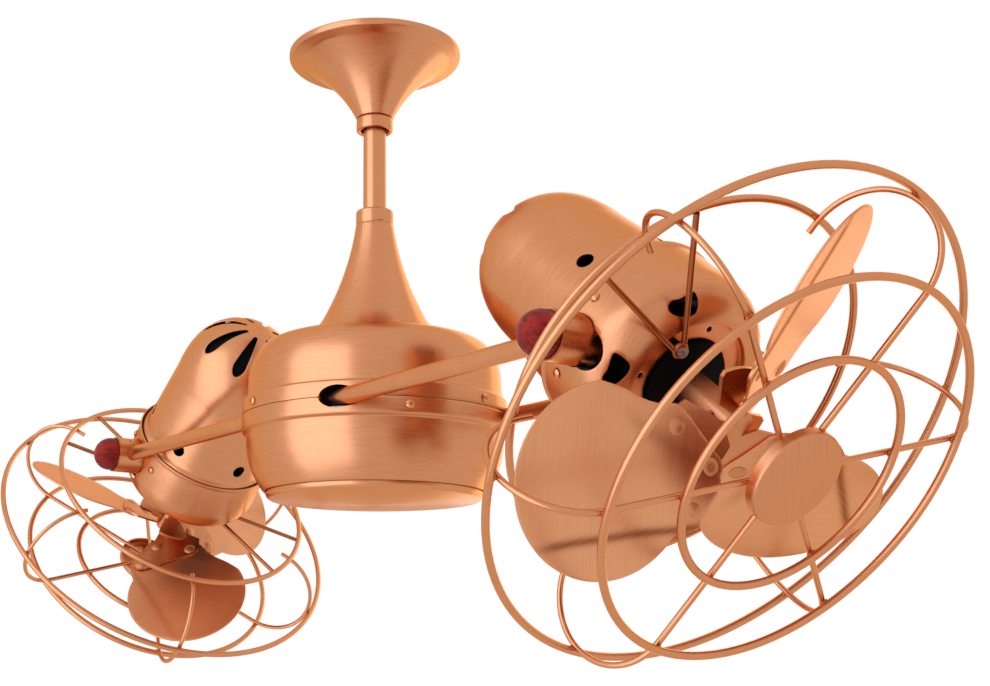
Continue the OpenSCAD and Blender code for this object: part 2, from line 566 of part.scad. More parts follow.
rib_v = [-73, -47.5];
strut_v = [46, 134];
vent_v = [-80, -98];
spin_v = [-61.5, -176.3];
module right_rear_shell() color(copper) head(1) rear_shell(vent_v[0]);
module right_front_shell() color(copper) head(1) front_shell(strut_v[0]);
module right_motor() color(dark) head(1) motor(strut_v[0]);
module right_yoke() color(steel) head(1) yoke();
module right_shell_screws() color(copper) head(1) shell_screws();
module right_guard_rings() color(copper) head(1) guard_rings();
module right_guard_ribs() color(copper) head(1) guard_ribs(rib_v[0]);
module right_struts() color(copper) head(1) struts(strut_v[0]);
module right_strut_screws() color(steel) head(1) strut_screws(strut_v[0]);
module right_medallion() color(copper) head(1) medallion();
module right_shaft() color(steel) head(1) spin_shaft();
module right_hub() color(copper) head(1) rotate(spin_v[0]) hub();
module right_blade_1() color(copper) head(1) rotate(spin_v[0]) blade(0);
module right_blade_2() color(copper) head(1) rotate(spin_v[0]) blade(1);
module right_blade_3() color(copper) head(1) rotate(spin_v[0]) blade(2);
module right_rivets() color(copper) head(1) rotate(spin_v[0]) rivets();
module left_rear_shell() color(copper) head(-1) rear_shell(vent_v[1]);
module left_front_shell() color(copper) head(-1) front_shell(strut_v[1]);
module left_motor() color(dark) head(-1) motor(strut_v[1]);
module left_yoke() color(steel) head(-1) yoke();
module left_shell_screws() color(copper) head(-1) shell_screws();
module left_guard_rings() color(copper) head(-1) guard_rings();
module left_guard_ribs() color(copper) head(-1) guard_ribs(rib_v[1]);
module left_struts() color(copper) head(-1) struts(strut_v[1]);
module left_strut_screws() color(steel) head(-1) strut_screws(strut_v[1]);
module left_medallion() color(copper) head(-1) medallion();
module left_shaft() color(steel) head(-1) spin_shaft();
module left_hub() color(copper) head(-1) rotate(spin_v[1]) hub();
module left_blade_1() color(copper) head(-1) rotate(spin_v[1]) blade(0);
module left_blade_2() color(copper) head(-1) rotate(spin_v[1]) blade(1);
module left_blade_3() color(copper) head(-1) rotate(spin_v[1]) blade(2);
module left_rivets() color(copper) head(-1) rotate(spin_v[1]) rivets();

ceiling_bracket();
hanger_ball();
cross_pins();
canopy();
canopy_collar();
downrod();
coupling();
bell_cover();
spindle();
spindle_nut();
brush_block();
housing_upper();
housing_lower();
bottom_plate();
housing_screws();
hub_frame();
bearings();
slip_ring();
support_rods();
pivot_bosses();
knob_right_front();
knob_right_rear();
knob_left_front();
knob_left_rear();
screw_right_front();
screw_right_rear();
screw_left_front();
screw_left_rear();
right_rear_shell();
right_front_shell();
right_motor();
right_yoke();
right_shell_screws();
right_guard_rings();
right_guard_ribs();
right_struts();
right_strut_screws();
right_medallion();
right_shaft();
right_hub();
right_blade_1();
right_blade_2();
right_blade_3();
right_rivets();
left_rear_shell();
left_front_shell();
left_motor();
left_yoke();
left_shell_screws();
left_guard_rings();
left_guard_ribs();
left_struts();
left_strut_screws();
left_medallion();
left_shaft();
left_hub();
left_blade_1();
left_blade_2();
left_blade_3();
left_rivets();
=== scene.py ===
# %% [markdown]
# # A twin head ceiling fan in brushed copper
# The fan hangs from a trumpet canopy on a short downrod. A round housing turns below it, two rods run
# through the housing, and each pair of rod ends carries a caged fan head that can be tilted and locked
# with a wooden knob. The construction comes in as a fixed frame. This script gives it its looks: spun
# covers with rolled edges, pressed blades, welded wire, turned wood, and the finishes.

import bisect
import json
import math
import random

import bmesh
import bpy
from mathutils import Matrix, Vector
from mathutils.geometry import delaunay_2d_cdt


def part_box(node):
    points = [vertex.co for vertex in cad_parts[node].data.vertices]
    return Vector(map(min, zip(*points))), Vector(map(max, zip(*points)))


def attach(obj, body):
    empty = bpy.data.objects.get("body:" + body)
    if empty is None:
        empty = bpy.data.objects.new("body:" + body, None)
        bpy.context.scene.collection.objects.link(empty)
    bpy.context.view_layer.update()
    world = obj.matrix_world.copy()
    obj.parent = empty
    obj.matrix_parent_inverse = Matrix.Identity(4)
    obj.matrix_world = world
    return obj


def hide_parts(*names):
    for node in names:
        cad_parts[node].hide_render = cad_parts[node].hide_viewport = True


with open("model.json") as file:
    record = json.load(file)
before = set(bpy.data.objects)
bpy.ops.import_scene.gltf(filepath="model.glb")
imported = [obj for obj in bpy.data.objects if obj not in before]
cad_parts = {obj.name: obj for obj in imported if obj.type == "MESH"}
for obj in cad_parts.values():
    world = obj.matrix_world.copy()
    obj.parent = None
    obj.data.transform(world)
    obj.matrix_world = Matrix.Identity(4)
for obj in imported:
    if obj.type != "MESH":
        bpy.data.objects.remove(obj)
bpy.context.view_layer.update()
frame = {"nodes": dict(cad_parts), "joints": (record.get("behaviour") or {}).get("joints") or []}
nodes = frame["nodes"]
joints = {joint["name"]: joint for joint in frame["joints"]}
mm = 0.001

# %% [markdown]
# ## The camera
# The photograph looks up at the fan from about 1.2 m away. A camera is a place, a heading, a rise, a roll
# and a focal length. The photograph is a crop, so its optical axis isn't in the middle of the picture,
# and a lens shift moves it there.

# %% Camera
picture_width, picture_height = 990, 686
optical_axis = (339.6, 200.1)
focal_pixels = 1348.2
camera_place = Vector((968.7, -680.4, -553.3)) * mm
camera_heading = math.radians(146.494 - 90)
camera_rise = math.radians(90 + 18.944)
camera_roll = math.radians(0.513)


def new_object(name, data):
    """An object made from its data and put into the scene."""
    obj = bpy.data.objects.new(name, data)
    bpy.context.scene.collection.objects.link(obj)
    return obj


camera = new_object("camera", bpy.data.cameras.new("camera"))
camera.data.sensor_width = 36
camera.data.lens = focal_pixels / picture_width * camera.data.sensor_width
camera.data.shift_x = 0.5 - optical_axis[0] / picture_width
camera.data.shift_y = (optical_axis[1] - picture_height / 2) / picture_width
turn = (Matrix.Rotation(camera_heading, 3, "Z") @ Matrix.Rotation(camera_rise, 3, "X")
        @ Matrix.Rotation(camera_roll, 3, "Z"))
camera.matrix_world = Matrix.Translation(camera_place) @ turn.to_4x4()
camera.data.clip_start = 0.01
camera.data.clip_end = 100
bpy.context.scene.camera = camera
bpy.context.scene.view_settings.view_transform = "Standard"
print(f"lens {camera.data.lens:.2f} mm, shift {camera.data.shift_x:.3f}, {camera.data.shift_y:.3f}")

# %% [markdown]
# ## Materials from nodes
# Every finish here is a small tree of shader nodes. These helpers start a material, add and join nodes,
# and turn a noise into two tones, a roughness or a relief, so that each finish reads as a list of steps.

# %% Node helpers
def new_material(name):
    """An empty node material with its output and a Principled surface, ready to be wired."""
    material = bpy.data.materials.new(name)
    material.use_nodes = True
    tree = material.node_tree
    tree.nodes.clear()
    surface = tree.nodes.new("ShaderNodeBsdfPrincipled")
    output = tree.nodes.new("ShaderNodeOutputMaterial")
    tree.links.new(surface.outputs["BSDF"], output.inputs["Surface"])
    return material, tree, surface


def add(tree, kind, inputs=(), **settings):
    """Adds a node. inputs maps a socket's name or number to a value or to another node's output."""
    node = tree.nodes.new("ShaderNode" + kind)
    for name, value in settings.items():
        setattr(node, name, value)
    for socket, value in dict(inputs).items():
        if isinstance(value, bpy.types.NodeSocket):
            tree.links.new(value, node.inputs[socket])
        else:
            node.inputs[socket].default_value = value
    return node


def math_node(tree, operation, *values):
    """A Math node's output, for one or two values or sockets."""
    return add(tree, "Math", dict(enumerate(values)), operation=operation).outputs[0]


def noise(tree, place, scale, detail, settings=(), **more):
    """A Noise Texture's output. settings gives values to further sockets."""
    values = {"Vector": place, "Scale": scale, "Detail": detail, **dict(settings)}
    return add(tree, "TexNoise", values, **more).outputs["Fac"]


def colour(*channels):
    """A colour written as it looks on screen, 0 to 255, turned into the linear values that nodes use."""
    return tuple(((c / 255 + 0.055) / 1.055) ** 2.4 if c > 10 else c / 255 / 12.92 for c in channels) + (1,)


def two_tones(tree, factor, dark, light, low=0.3, high=0.66):
    """A colour that goes from dark to light while the factor goes from low to high."""
    shade = add(tree, "ValToRGB", {"Fac": factor})
    for element, position, tone in zip(shade.color_ramp.elements, (low, high), (dark, light)):
        element.position = position
        element.color = tone
    return shade.outputs["Color"]


def vary(tree, surface, tone, roughness, marks, bump, depth):
    """Wires a finish that varies: its tone, its roughness, and a relief of the given strength and depth."""
    tree.links.new(tone, surface.inputs["Base Color"])
    tree.links.new(roughness, surface.inputs["Roughness"])
    relief = add(tree, "Bump", {"Height": marks, "Strength": bump, "Distance": depth})
    tree.links.new(relief.outputs["Normal"], surface.inputs["Normal"])


def spread(tree, factor, roughness, less, more, **within):
    """A roughness that goes from roughness - less to roughness + more with the factor."""
    limits = {"From Min": within.get("low", 0.0), "From Max": within.get("high", 1.0)}
    return add(tree, "MapRange", {"Value": factor, **limits, "To Min": roughness - less,
                                  "To Max": roughness + more}).outputs[0]


print("helpers ready")

# %% [markdown]
# ## Brushed copper
# The covers are turned against an abrasive pad, which leaves hair-fine rings round the axis of each
# piece. The rings spread a reflection along the axis but hardly round it, which is what gives brushed
# metal its streaks. Three things make that here: an anisotropic reflection whose direction follows the
# rings, a very shallow bump of stretched noise, and a slight change of tone from ring to ring. The
# coordinates are taken about the piece's own axis, so each head has its own copy of the finish.

# %% Brushed copper
copper_tone = colour(209, 142, 100)
copper_deep = colour(198, 130, 88)
edge_tint = colour(253, 208, 172)


def axis_coordinates(tree, origin, axis):
    """Object coordinates turned so that Z runs along the piece's axis from its origin."""
    place = add(tree, "TexCoord").outputs["Object"]
    facing = Vector(axis).to_track_quat("Z", "Y").to_euler()
    turned = add(tree, "Mapping", {"Vector": place, "Location": Vector(origin), "Rotation": facing},
                 vector_type="TEXTURE")
    return turned.outputs["Vector"]


def ring_direction(tree, axis, along):
    """The direction of the brush marks: round the axis, given in world space for the shader."""
    split = add(tree, "SeparateXYZ", {0: along})
    flat = add(tree, "CombineXYZ", {0: math_node(tree, "MULTIPLY", split.outputs[1], -1.0),
                                    1: split.outputs[0]}).outputs[0]
    facing = Vector(axis).to_track_quat("Z", "Y").to_euler()
    back = add(tree, "Mapping", {"Vector": flat, "Rotation": facing}, vector_type="POINT").outputs[0]
    world = add(tree, "VectorTransform", {0: back}, vector_type="VECTOR",
                convert_from="OBJECT", convert_to="WORLD").outputs[0]
    return add(tree, "VectorMath", {0: world}, operation="NORMALIZE").outputs[0]


def copper_surface(surface):
    """What every copper finish shares: metal that doesn't turn white where it is seen at a low angle."""
    surface.inputs["Metallic"].default_value = 1.0
    surface.inputs["Specular Tint"].default_value = edge_tint


def brushed_copper(name, origin, axis, roughness=0.3, tone=copper_tone, deep=copper_deep):
    """Copper brushed round an axis, which runs through the origin given."""
    material, tree, surface = new_material(name)
    along = axis_coordinates(tree, origin, axis)
    split = add(tree, "SeparateXYZ", {0: along})
    x, y, z = split.outputs
    radius = math_node(tree, "SQRT", math_node(tree, "ADD", math_node(tree, "MULTIPLY", x, x),
                                               math_node(tree, "MULTIPLY", y, y)))
    round_x = math_node(tree, "DIVIDE", x, radius)
    round_y = math_node(tree, "DIVIDE", y, radius)

    def rings(fine, length, detail):
        """A noise that changes fast from ring to ring and slowly round the axis."""
        marks = add(tree, "CombineXYZ", {0: math_node(tree, "MULTIPLY", round_x, length),
                                         1: math_node(tree, "MULTIPLY", round_y, length),
                                         2: math_node(tree, "MULTIPLY", radius, fine)}).outputs[0]
        height = math_node(tree, "MULTIPLY", z, fine)
        return noise(tree, marks, 1.0, detail, {"W": height, "Roughness": 0.7}, noise_dimensions="4D")

    hairline = rings(1700.0, 5.0, 2.0)
    band = rings(520.0, 3.2, 1.0)
    blend = math_node(tree, "ADD", math_node(tree, "MULTIPLY", hairline, 0.85),
                      math_node(tree, "MULTIPLY", band, 0.15))
    shade = two_tones(tree, blend, deep, tone, 0.32, 0.6)
    rough = spread(tree, blend, roughness, 0.04, 0.05, low=0.3, high=0.7)
    vary(tree, surface, shade, rough, blend, 0.1, 0.0002)
    tree.links.new(ring_direction(tree, axis, along), surface.inputs["Tangent"])
    copper_surface(surface)
    surface.inputs["Anisotropic"].default_value = 0.6
    surface.inputs["Anisotropic Rotation"].default_value = 0.25
    return material


copper_upright = brushed_copper("copper_brushed_upright", (0, 0, 0), (0, 0, 1))
print("made", copper_upright.name)

# %% [markdown]
# ## Copper for the wire, the rods and the blades
# Wire and tube are polished along their length by rollers, so their marks are too fine to see and only a
# soft cloudiness is left. A blade is brushed straight across as a flat sheet before it is pressed.

# %% Plain copper and straight-brushed copper
def soft_copper(name, roughness=0.27, tone=copper_tone, deep=copper_deep):
    """Copper with marks too fine to see, for wire, tube and small parts."""
    material, tree, surface = new_material(name)
    place = add(tree, "TexCoord").outputs["Object"]
    cloud = noise(tree, place, 60.0, 2.0)
    grain = noise(tree, place, 2600.0, 2.0)
    blend = math_node(tree, "ADD", math_node(tree, "MULTIPLY", cloud, 0.35),
                      math_node(tree, "MULTIPLY", grain, 0.65))
    shade = two_tones(tree, blend, deep, tone)
    vary(tree, surface, shade, spread(tree, cloud, roughness, 0.04, 0.04), grain, 0.06, 0.0001)
    copper_surface(surface)
    return material


# The second colour is a painted shade for the blades' pressed steps.
sheet_deep, fold_shade_tone = colour(198, 129, 88), colour(126, 58, 28)


def sheet_copper(name, form, heading, roughness=0.36, tone=copper_tone, deep=sheet_deep):
    """Copper brushed in straight lines. form is the sheet's own frame and heading the lines' way on it.
    Where a blade's mesh has its fold attribute, the copper is darkened there by a painted shade."""
    material, tree, surface = new_material(name)
    place = add(tree, "TexCoord").outputs["Object"]
    own = add(tree, "Mapping", {"Vector": place, "Location": form.to_translation(),
                                "Rotation": (form.to_3x3() @ Matrix.Rotation(heading, 3, "Z")).to_euler()},
              vector_type="TEXTURE").outputs["Vector"]
    stretched = add(tree, "Mapping", {"Vector": own, "Scale": (26, 1500, 20)}, vector_type="POINT").outputs[0]
    hairline = noise(tree, stretched, 1.0, 3.0, {"Roughness": 0.6})
    shade = two_tones(tree, hairline, deep, tone, 0.26, 0.62)
    # A painted shade along the pressed steps, mixed over the brushed tone.
    painted_fold_shade = add(tree, "Attribute", attribute_name="painted_fold_shade").outputs["Fac"]
    fold_shaded = add(tree, "Mix", {0: painted_fold_shade, 6: shade, 7: fold_shade_tone}, data_type="RGBA")
    rough = spread(tree, hairline, roughness, 0.05, 0.05, low=0.3, high=0.7)
    vary(tree, surface, fold_shaded.outputs[2], rough, hairline, 0.08, 0.0002)
    copper_surface(surface)
    return material


copper_soft = soft_copper("copper_soft")
copper_rivet = soft_copper("copper_rivet", 0.46, colour(214, 147, 104), colour(202, 134, 92))
copper_strut = soft_copper("copper_strut", 0.3, colour(178, 110, 70), colour(142, 80, 46))
copper_weld = soft_copper("copper_weld", 0.42, colour(196, 118, 76), colour(150, 80, 46))
print("made", copper_soft.name, copper_weld.name)

# %% [markdown]
# ## Steel, black, brass and wood
# The hidden pieces get the finish that they have in such a fan: zinc plated steel, cast aluminium,
# nylon, brass tracks. The motor's face is a deep matt black. The knobs are turned wood, stained red
# brown. A stretched noise is its figure, and a fine Voronoi pattern its open pores.

# %% Small finishes
def speckled(name, dark, light, metallic, roughness, scale=900.0, bump=0.15, shine=0.5):
    """A finish that varies finely between two tones."""
    material, tree, surface = new_material(name)
    place = add(tree, "TexCoord").outputs["Object"]
    grain = noise(tree, place, scale, 5.0)
    shade = two_tones(tree, grain, dark, light, 0.3, 0.7)
    vary(tree, surface, shade, spread(tree, grain, roughness, 0.08, 0.08), grain, bump, 0.0002)
    surface.inputs["Metallic"].default_value = metallic
    surface.inputs["Specular IOR Level"].default_value = shine
    return material


zinc_steel = speckled("steel_zinc_plated", colour(150, 152, 156), colour(188, 190, 193), 1.0, 0.34)
cast_aluminium = speckled("aluminium_as_cast", colour(140, 141, 144), colour(176, 177, 180), 1.0, 0.55,
                          scale=500.0, bump=0.4)
track_brass = speckled("brass_track", colour(176, 138, 66), colour(205, 168, 92), 1.0, 0.3)
black_nylon = speckled("nylon_black", colour(16, 16, 17), colour(26, 26, 27), 0.0, 0.55)
black_paint = speckled("paint_matt_black", colour(2, 2, 2), colour(7, 6, 6), 0.0, 0.75,
                       scale=1500.0, shine=0.08)
# The inner side of every cover is a painted shade: a dark brown that stands for the shade inside a cover.
inner_painted_shade = speckled("inner_side_painted_shade", colour(58, 34, 24), colour(78, 48, 34), 0.4, 0.5)
print("made", zinc_steel.name, cast_aluminium.name, track_brass.name, black_nylon.name, black_paint.name)


# %% Stained wood
def stained_wood(name, origin, tone, deep):
    """Turned hardwood, stained red brown and lacquered, with its pores showing dark."""
    material, tree, surface = new_material(name)
    along = axis_coordinates(tree, origin, (0, 1, 0))
    stretched = add(tree, "Mapping", {"Vector": along, "Scale": (1, 1, 0.35)}, vector_type="POINT").outputs[0]
    figure = noise(tree, stretched, 130.0, 6.0, {"Distortion": 0.8})
    pores = add(tree, "TexVoronoi", {"Vector": stretched, "Scale": 420.0}).outputs["Distance"]
    shade = two_tones(tree, figure, deep, tone)
    pit = add(tree, "MapRange", {"Value": pores, "From Min": 0.12, "From Max": 0.22}).outputs[0]
    mixed = add(tree, "Mix", {0: pit, 6: colour(38, 12, 12), 7: shade}, data_type="RGBA")
    tree.links.new(mixed.outputs[2], surface.inputs["Base Color"])
    relief = add(tree, "Bump", {"Height": pit, "Strength": 0.3, "Distance": 0.0002})
    tree.links.new(relief.outputs["Normal"], surface.inputs["Normal"])
    surface.inputs["Roughness"].default_value = 0.42
    surface.inputs["Specular IOR Level"].default_value = 0.16
    surface.inputs["Specular Tint"].default_value = colour(255, 170, 140)
    return material


print("wood ready")

# %% [markdown]
# ## Which piece gets which finish
# Each construction node keeps its mesh and gets a finish in its material slot. The heads need their own
# brushed copper, because their axes slope.

# %% Finish of every node
sides = ("right", "left")
head_origin = {side: Vector(joints[side + "_head_tilt"]["pos_m"]) for side in sides}
head_axis = {side: Vector(joints[side + "_fan_spin"]["axis"]).normalized() for side in sides}


def finish_nodes(material, names, before=""):
    """Puts one finish on the construction nodes that a text names, each with the given start."""
    for name in names.split():
        slots = nodes[before + name].data.materials
        slots.clear()
        slots.append(material)


finish_nodes(copper_upright, "canopy canopy_collar downrod bell_cover bottom_plate")
finish_nodes(copper_upright, "upper lower", "housing_")
finish_nodes(copper_soft, "housing_screws support_rods pivot_bosses")
finish_nodes(zinc_steel, "ceiling_bracket cross_pins coupling spindle spindle_nut bearings")
finish_nodes(black_nylon, "hanger_ball brush_block")
finish_nodes(cast_aluminium, "hub_frame")
finish_nodes(track_brass, "slip_ring")
wood_tone, wood_deep = colour(156, 42, 38), colour(84, 20, 18)
copper_head = {}
for side in sides:
    copper_head[side] = brushed_copper("copper_brushed_head_" + side, head_origin[side], head_axis[side])
    finish_nodes(copper_head[side], "rear_shell front_shell hub", side + "_")
    finish_nodes(copper_soft, "shell_screws guard_rings guard_ribs blade_1 blade_2 blade_3", side + "_")
    finish_nodes(copper_strut, side + "_struts")
    finish_nodes(copper_rivet, side + "_rivets")
    finish_nodes(zinc_steel, "yoke shaft strut_screws", side + "_")
    finish_nodes(black_paint, side + "_motor")
    for end in ("front", "rear"):
        low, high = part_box(f"knob_{side}_{end}")
        wood = stained_wood(f"wood_{side}_{end}", (low + high) / 2, wood_tone, wood_deep)
        finish_nodes(wood, f"knob_{side}_{end}")
        finish_nodes(zinc_steel, f"screw_{side}_{end}")
print("finishes on", sum(1 for n in nodes.values() if n.data.materials), "nodes")

# %% [markdown]
# ## Sheet metal covers
# A cover of the real fan is spun: a disc of sheet is pressed over a turning form until it takes its
# outline. Here a cover is drawn the same way, as an outline turned round an axis. The openings are cut
# in the flat, where the outline's length is one direction and the way round is the other. A constrained
# triangulation fills the flat around them, the flat is then rolled up, thickened inwards, and its cut
# edges get a small round, because a real stamped edge always catches a thin line of light.

# %% Outlines
def sweep_angles(start, end, steps):
    """Angles in radians from start to end, both in degrees."""
    return [math.radians(start + (end - start) * i / steps) for i in range(steps + 1)]


def arc(centre, radius, start, end, steps):
    """Points on an arc, from one angle to the other in degrees."""
    return [(centre[0] + radius * math.cos(a), centre[1] + radius * math.sin(a))
            for a in sweep_angles(start, end, steps)]


def through(p, q, s, steps):
    """The arc from p to s through q."""
    (ax, ay), (bx, by), (cx, cy) = p, q, s
    d = 2 * (ax * (by - cy) + bx * (cy - ay) + cx * (ay - by))
    ux = ((ax**2 + ay**2) * (by - cy) + (bx**2 + by**2) * (cy - ay) + (cx**2 + cy**2) * (ay - by)) / d
    uy = ((ax**2 + ay**2) * (cx - bx) + (bx**2 + by**2) * (ax - cx) + (cx**2 + cy**2) * (bx - ax)) / d
    start = math.degrees(math.atan2(ay - uy, ax - ux))
    end = math.degrees(math.atan2(cy - uy, cx - ux))
    end -= 360 * round((end - start) / 360)
    return arc((ux, uy), math.hypot(ax - ux, ay - uy), start, end, steps)


def rounded(corners, radius, steps=4):
    """Straight lines between corners. Each inner corner is rounded by a curve that starts and ends
    the given radius away from it, or less where a side is short."""
    line = [corners[0]]
    for before, corner, after in zip(corners, corners[1:], corners[2:]):
        a = Vector(before) - Vector(corner)
        b = Vector(after) - Vector(corner)
        reach = min(radius, a.length * 0.45, b.length * 0.45)
        p, q = Vector(corner) + a.normalized() * reach, Vector(corner) + b.normalized() * reach
        for i in range(steps + 1):
            t = i / steps
            line.append(tuple(p * (1 - t) ** 2 + Vector(corner) * 2 * t * (1 - t) + q * t**2))
    line.append(corners[-1])
    return line


def between(a, b, pieces):
    """The points that part the line from a to b into equal pieces, from a on and without b."""
    return [(a[0] + (b[0] - a[0]) * i / pieces, a[1] + (b[1] - a[1]) * i / pieces) for i in range(pieces)]


def evenly(line, step):
    """Adds points so that no stretch of the line is longer than step."""
    out = []
    for a, b in zip(line, line[1:]):
        out += between(a, b, max(1, math.ceil(math.dist(a, b) / step)))
    return out + [line[-1]]


def open_curve(points, steps=6):
    """A smooth curve from the second point to the last but one (Catmull-Rom)."""
    out = []
    for a, b, c, d in zip(points, points[1:], points[2:], points[3:]):
        a, b, c, d = Vector(a), Vector(b), Vector(c), Vector(d)
        for j in range(steps):
            t = j / steps
            out.append(tuple(0.5 * (2 * b + (c - a) * t + (2 * a - 5 * b + 4 * c - d) * t**2
                                    + (3 * b - a - 3 * c + d) * t**3)))
    return out


def closed_curve(points, steps=4):
    """A smooth closed curve through the points."""
    return open_curve(points[-1:] + points + points[:2], steps)


print("outline helpers ready")

# %% [markdown]
# ## From flat to form
# A subdivided cage could make these shells too, but holes pull its surface out of shape. `flat_sheet` is
# the one builder behind every sheet part. It takes the flat outline, the holes and a rule that says
# where a flat point goes in space.

# %% Triangles round holes
def inside(point, loop):
    """True if the point lies inside the loop (an even-odd test)."""
    x, y = point
    hit = False
    for (ax, ay), (bx, by) in zip(loop, loop[1:] + loop[:1]):
        if (ay > y) != (by > y) and x < (bx - ax) * (y - ay) / (by - ay) + ax:
            hit = not hit
    return hit


def box_of(loop, margin):
    """The lowest and the highest x and y of a loop, with a margin all round."""
    xs, ys = [p[0] for p in loop], [p[1] for p in loop]
    return min(xs) - margin, min(ys) - margin, max(xs) + margin, max(ys) + margin


def triangles(outer, holes, filling, rolled, gap=0.9):
    """Fills a flat outline with triangles round its holes. The filling keeps a gap from every hole."""
    boxes = [box_of(loop, gap) for loop in holes]

    def in_hole(point, margin):
        for loop, (x0, y0, x1, y1) in zip(holes, boxes):
            if x0 < point[0] < x1 and y0 < point[1] < y1:
                if inside(point, loop) or min(math.dist(point, p) for p in loop) < margin:
                    return True
        return False

    points = list(outer)
    edges = [(i, (i + 1) % len(outer)) for i in range(len(outer))]
    for loop in holes:
        first = len(points)
        points += loop
        edges += [(first + i, first + (i + 1) % len(loop)) for i in range(len(loop))]
    points += [p for p in filling if not in_hole(p, gap)]
    low, high = min(p[1] for p in outer), max(p[1] for p in outer)
    flat, _, faces, *_ = delaunay_2d_cdt([Vector(p) for p in points], edges, [], 0, 1e-6)
    kept = []
    for face in faces:
        middle = sum((flat[i] for i in face), Vector((0, 0))) / len(face)
        in_outline = low < middle.y < high if rolled else inside(middle, outer)
        if in_outline and not in_hole(middle, 0):
            kept.append(face)
    return flat, kept


print("triangles ready")


# %% Sheet
def flat_sheet(name, outer, holes, filling, place, wall, finish, rim=0.3, rolled=False, lining=None,
               turned_over=False):
    """Fills a flat outline, puts every point in its place and thickens it. A rolled sheet is a full
    rectangle whose two ends are joined. turned_over swaps its outer side."""
    flat, kept = triangles(outer, holes, filling, rolled)
    mesh = bpy.data.meshes.new(name)
    mesh.from_pydata([place(p.x, p.y) for p in flat], [], kept)
    sheet = bmesh.new()
    sheet.from_mesh(mesh)
    bmesh.ops.delete(sheet, geom=[v for v in sheet.verts if not v.link_faces], context="VERTS")
    if rolled:
        bmesh.ops.remove_doubles(sheet, verts=sheet.verts, dist=0.02 * mm)
    bmesh.ops.dissolve_degenerate(sheet, edges=sheet.edges, dist=0.005 * mm)
    if turned_over:
        bmesh.ops.reverse_faces(sheet, faces=sheet.faces)
    sheet.to_mesh(mesh)
    sheet.free()
    return sheet_object(name, mesh, wall, rim, lining, finish)


def sheet_object(name, mesh, wall, rim, lining, finish):
    """Thickens a sheet away from its outer side, rounds its cut edges and shades it smooth."""
    obj = new_object(name, mesh)
    mesh.materials.append(finish)
    solid = obj.modifiers.new("thickness", "SOLIDIFY")
    solid.thickness = wall * mm
    solid.offset = -1
    solid.use_even_offset = True
    # The inner side can get a second material, a painted shade.
    if lining is not None:
        mesh.materials.append(lining)
        solid.material_offset = 1
    if rim:
        bevel = obj.modifiers.new("rim", "BEVEL")
        bevel.width = rim * mm
        bevel.segments = 2
        bevel.limit_method = "ANGLE"
        bevel.angle_limit = math.radians(55)
        bevel.use_clamp_overlap = True
        bevel.material = 0
    return settled(obj)


def settled(obj, sharp=50):
    """Applies an object's modifiers and shades it smooth, with edges over the given angle left sharp."""
    graph = bpy.context.evaluated_depsgraph_get()
    done = bpy.data.meshes.new_from_object(obj.evaluated_get(graph))
    obj.modifiers.clear()
    old, obj.data = obj.data, done
    bpy.data.meshes.remove(old)
    done.name = obj.name
    done.shade_smooth()
    done.set_sharp_from_angle(angle=math.radians(sharp))
    return obj


print("sheet builder ready")

# %% Spun covers
RADIUS, HEIGHT = 0, 1


class Outline:
    """A turned outline that can be walked by length."""

    def __init__(self, line, step):
        self.line = evenly(line, step)
        self.length = [0.0]
        for a, b in zip(self.line, self.line[1:]):
            self.length.append(self.length[-1] + math.dist(a, b))
        self.round_scale = max(r for r, _ in self.line)

    def at(self, v):
        """(radius, height) at the length v."""
        v = min(max(v, 0.0), self.length[-1])
        i = bisect.bisect_left(self.length, v, 1, len(self.length) - 1)
        a, b = self.line[i - 1], self.line[i]
        t = (v - self.length[i - 1]) / max(self.length[i] - self.length[i - 1], 1e-9)
        return a[0] + (b[0] - a[0]) * t, a[1] + (b[1] - a[1]) * t

    def find(self, want, part, start=0.0, end=None):
        """The length at which a part of (radius, height) crosses the wanted value, between start and end."""
        end = self.length[-1] if end is None else end

        def crosses(a, b):
            return (self.at(a)[part] - want) * (self.at(b)[part] - want) <= 0

        marks = [start + (end - start) * k / 200 for k in range(201)]
        for a, b in zip(marks, marks[1:]):
            if crosses(a, b):
                for _ in range(30):
                    middle = (a + b) / 2
                    a, b = (a, middle) if crosses(a, middle) else (middle, b)
                return (a + b) / 2
        return end


def round_axis(form, radius, angle, height):
    """The point in space at a radius, angle and height, in millimetres, about the form's Z axis."""
    return form @ Vector((radius * math.cos(angle) * mm, radius * math.sin(angle) * mm, height * mm))


def spun_cover(name, outline, wall, form, finish, holes=(), seam=math.pi, around=132, **more):
    """Turns an outline round the form's Z axis. holes are loops of (angle, length along the outline), and
    seam is the angle at which the rolled flat is joined, away from every hole."""
    scale = outline.round_scale
    start, full = seam * scale, 2 * math.pi * scale

    def flat(angle, v):
        return ((angle - seam) % (2 * math.pi) * scale, v)

    rows, columns = outline.length, [full * i / around for i in range(around + 1)]
    outer = ([(c, rows[0]) for c in columns] + [(full, v) for v in rows[1:]]
             + [(c, rows[-1]) for c in reversed(columns[:-1])] + [(0.0, v) for v in reversed(rows[1:-1])])
    filling = [(c, v) for c in columns[1:-1] for v in rows[1:-1]]

    def place(u, v):
        radius, height = outline.at(v)
        return round_axis(form, radius, (u + start) / scale, height)

    loops = [[flat(a, v) for a, v in loop] for loop in holes]
    # An outline drawn downwards gives faces that look inwards, so they are turned over.
    widest = max(range(1, len(rows)), key=lambda i: min(outline.line[i][0], outline.line[i - 1][0]))
    downwards = outline.line[widest][1] < outline.line[widest - 1][1]
    return flat_sheet(name, outer, loops, filling, place, wall, finish, rolled=True, turned_over=downwards,
                      **more)


print("spun cover builder ready")

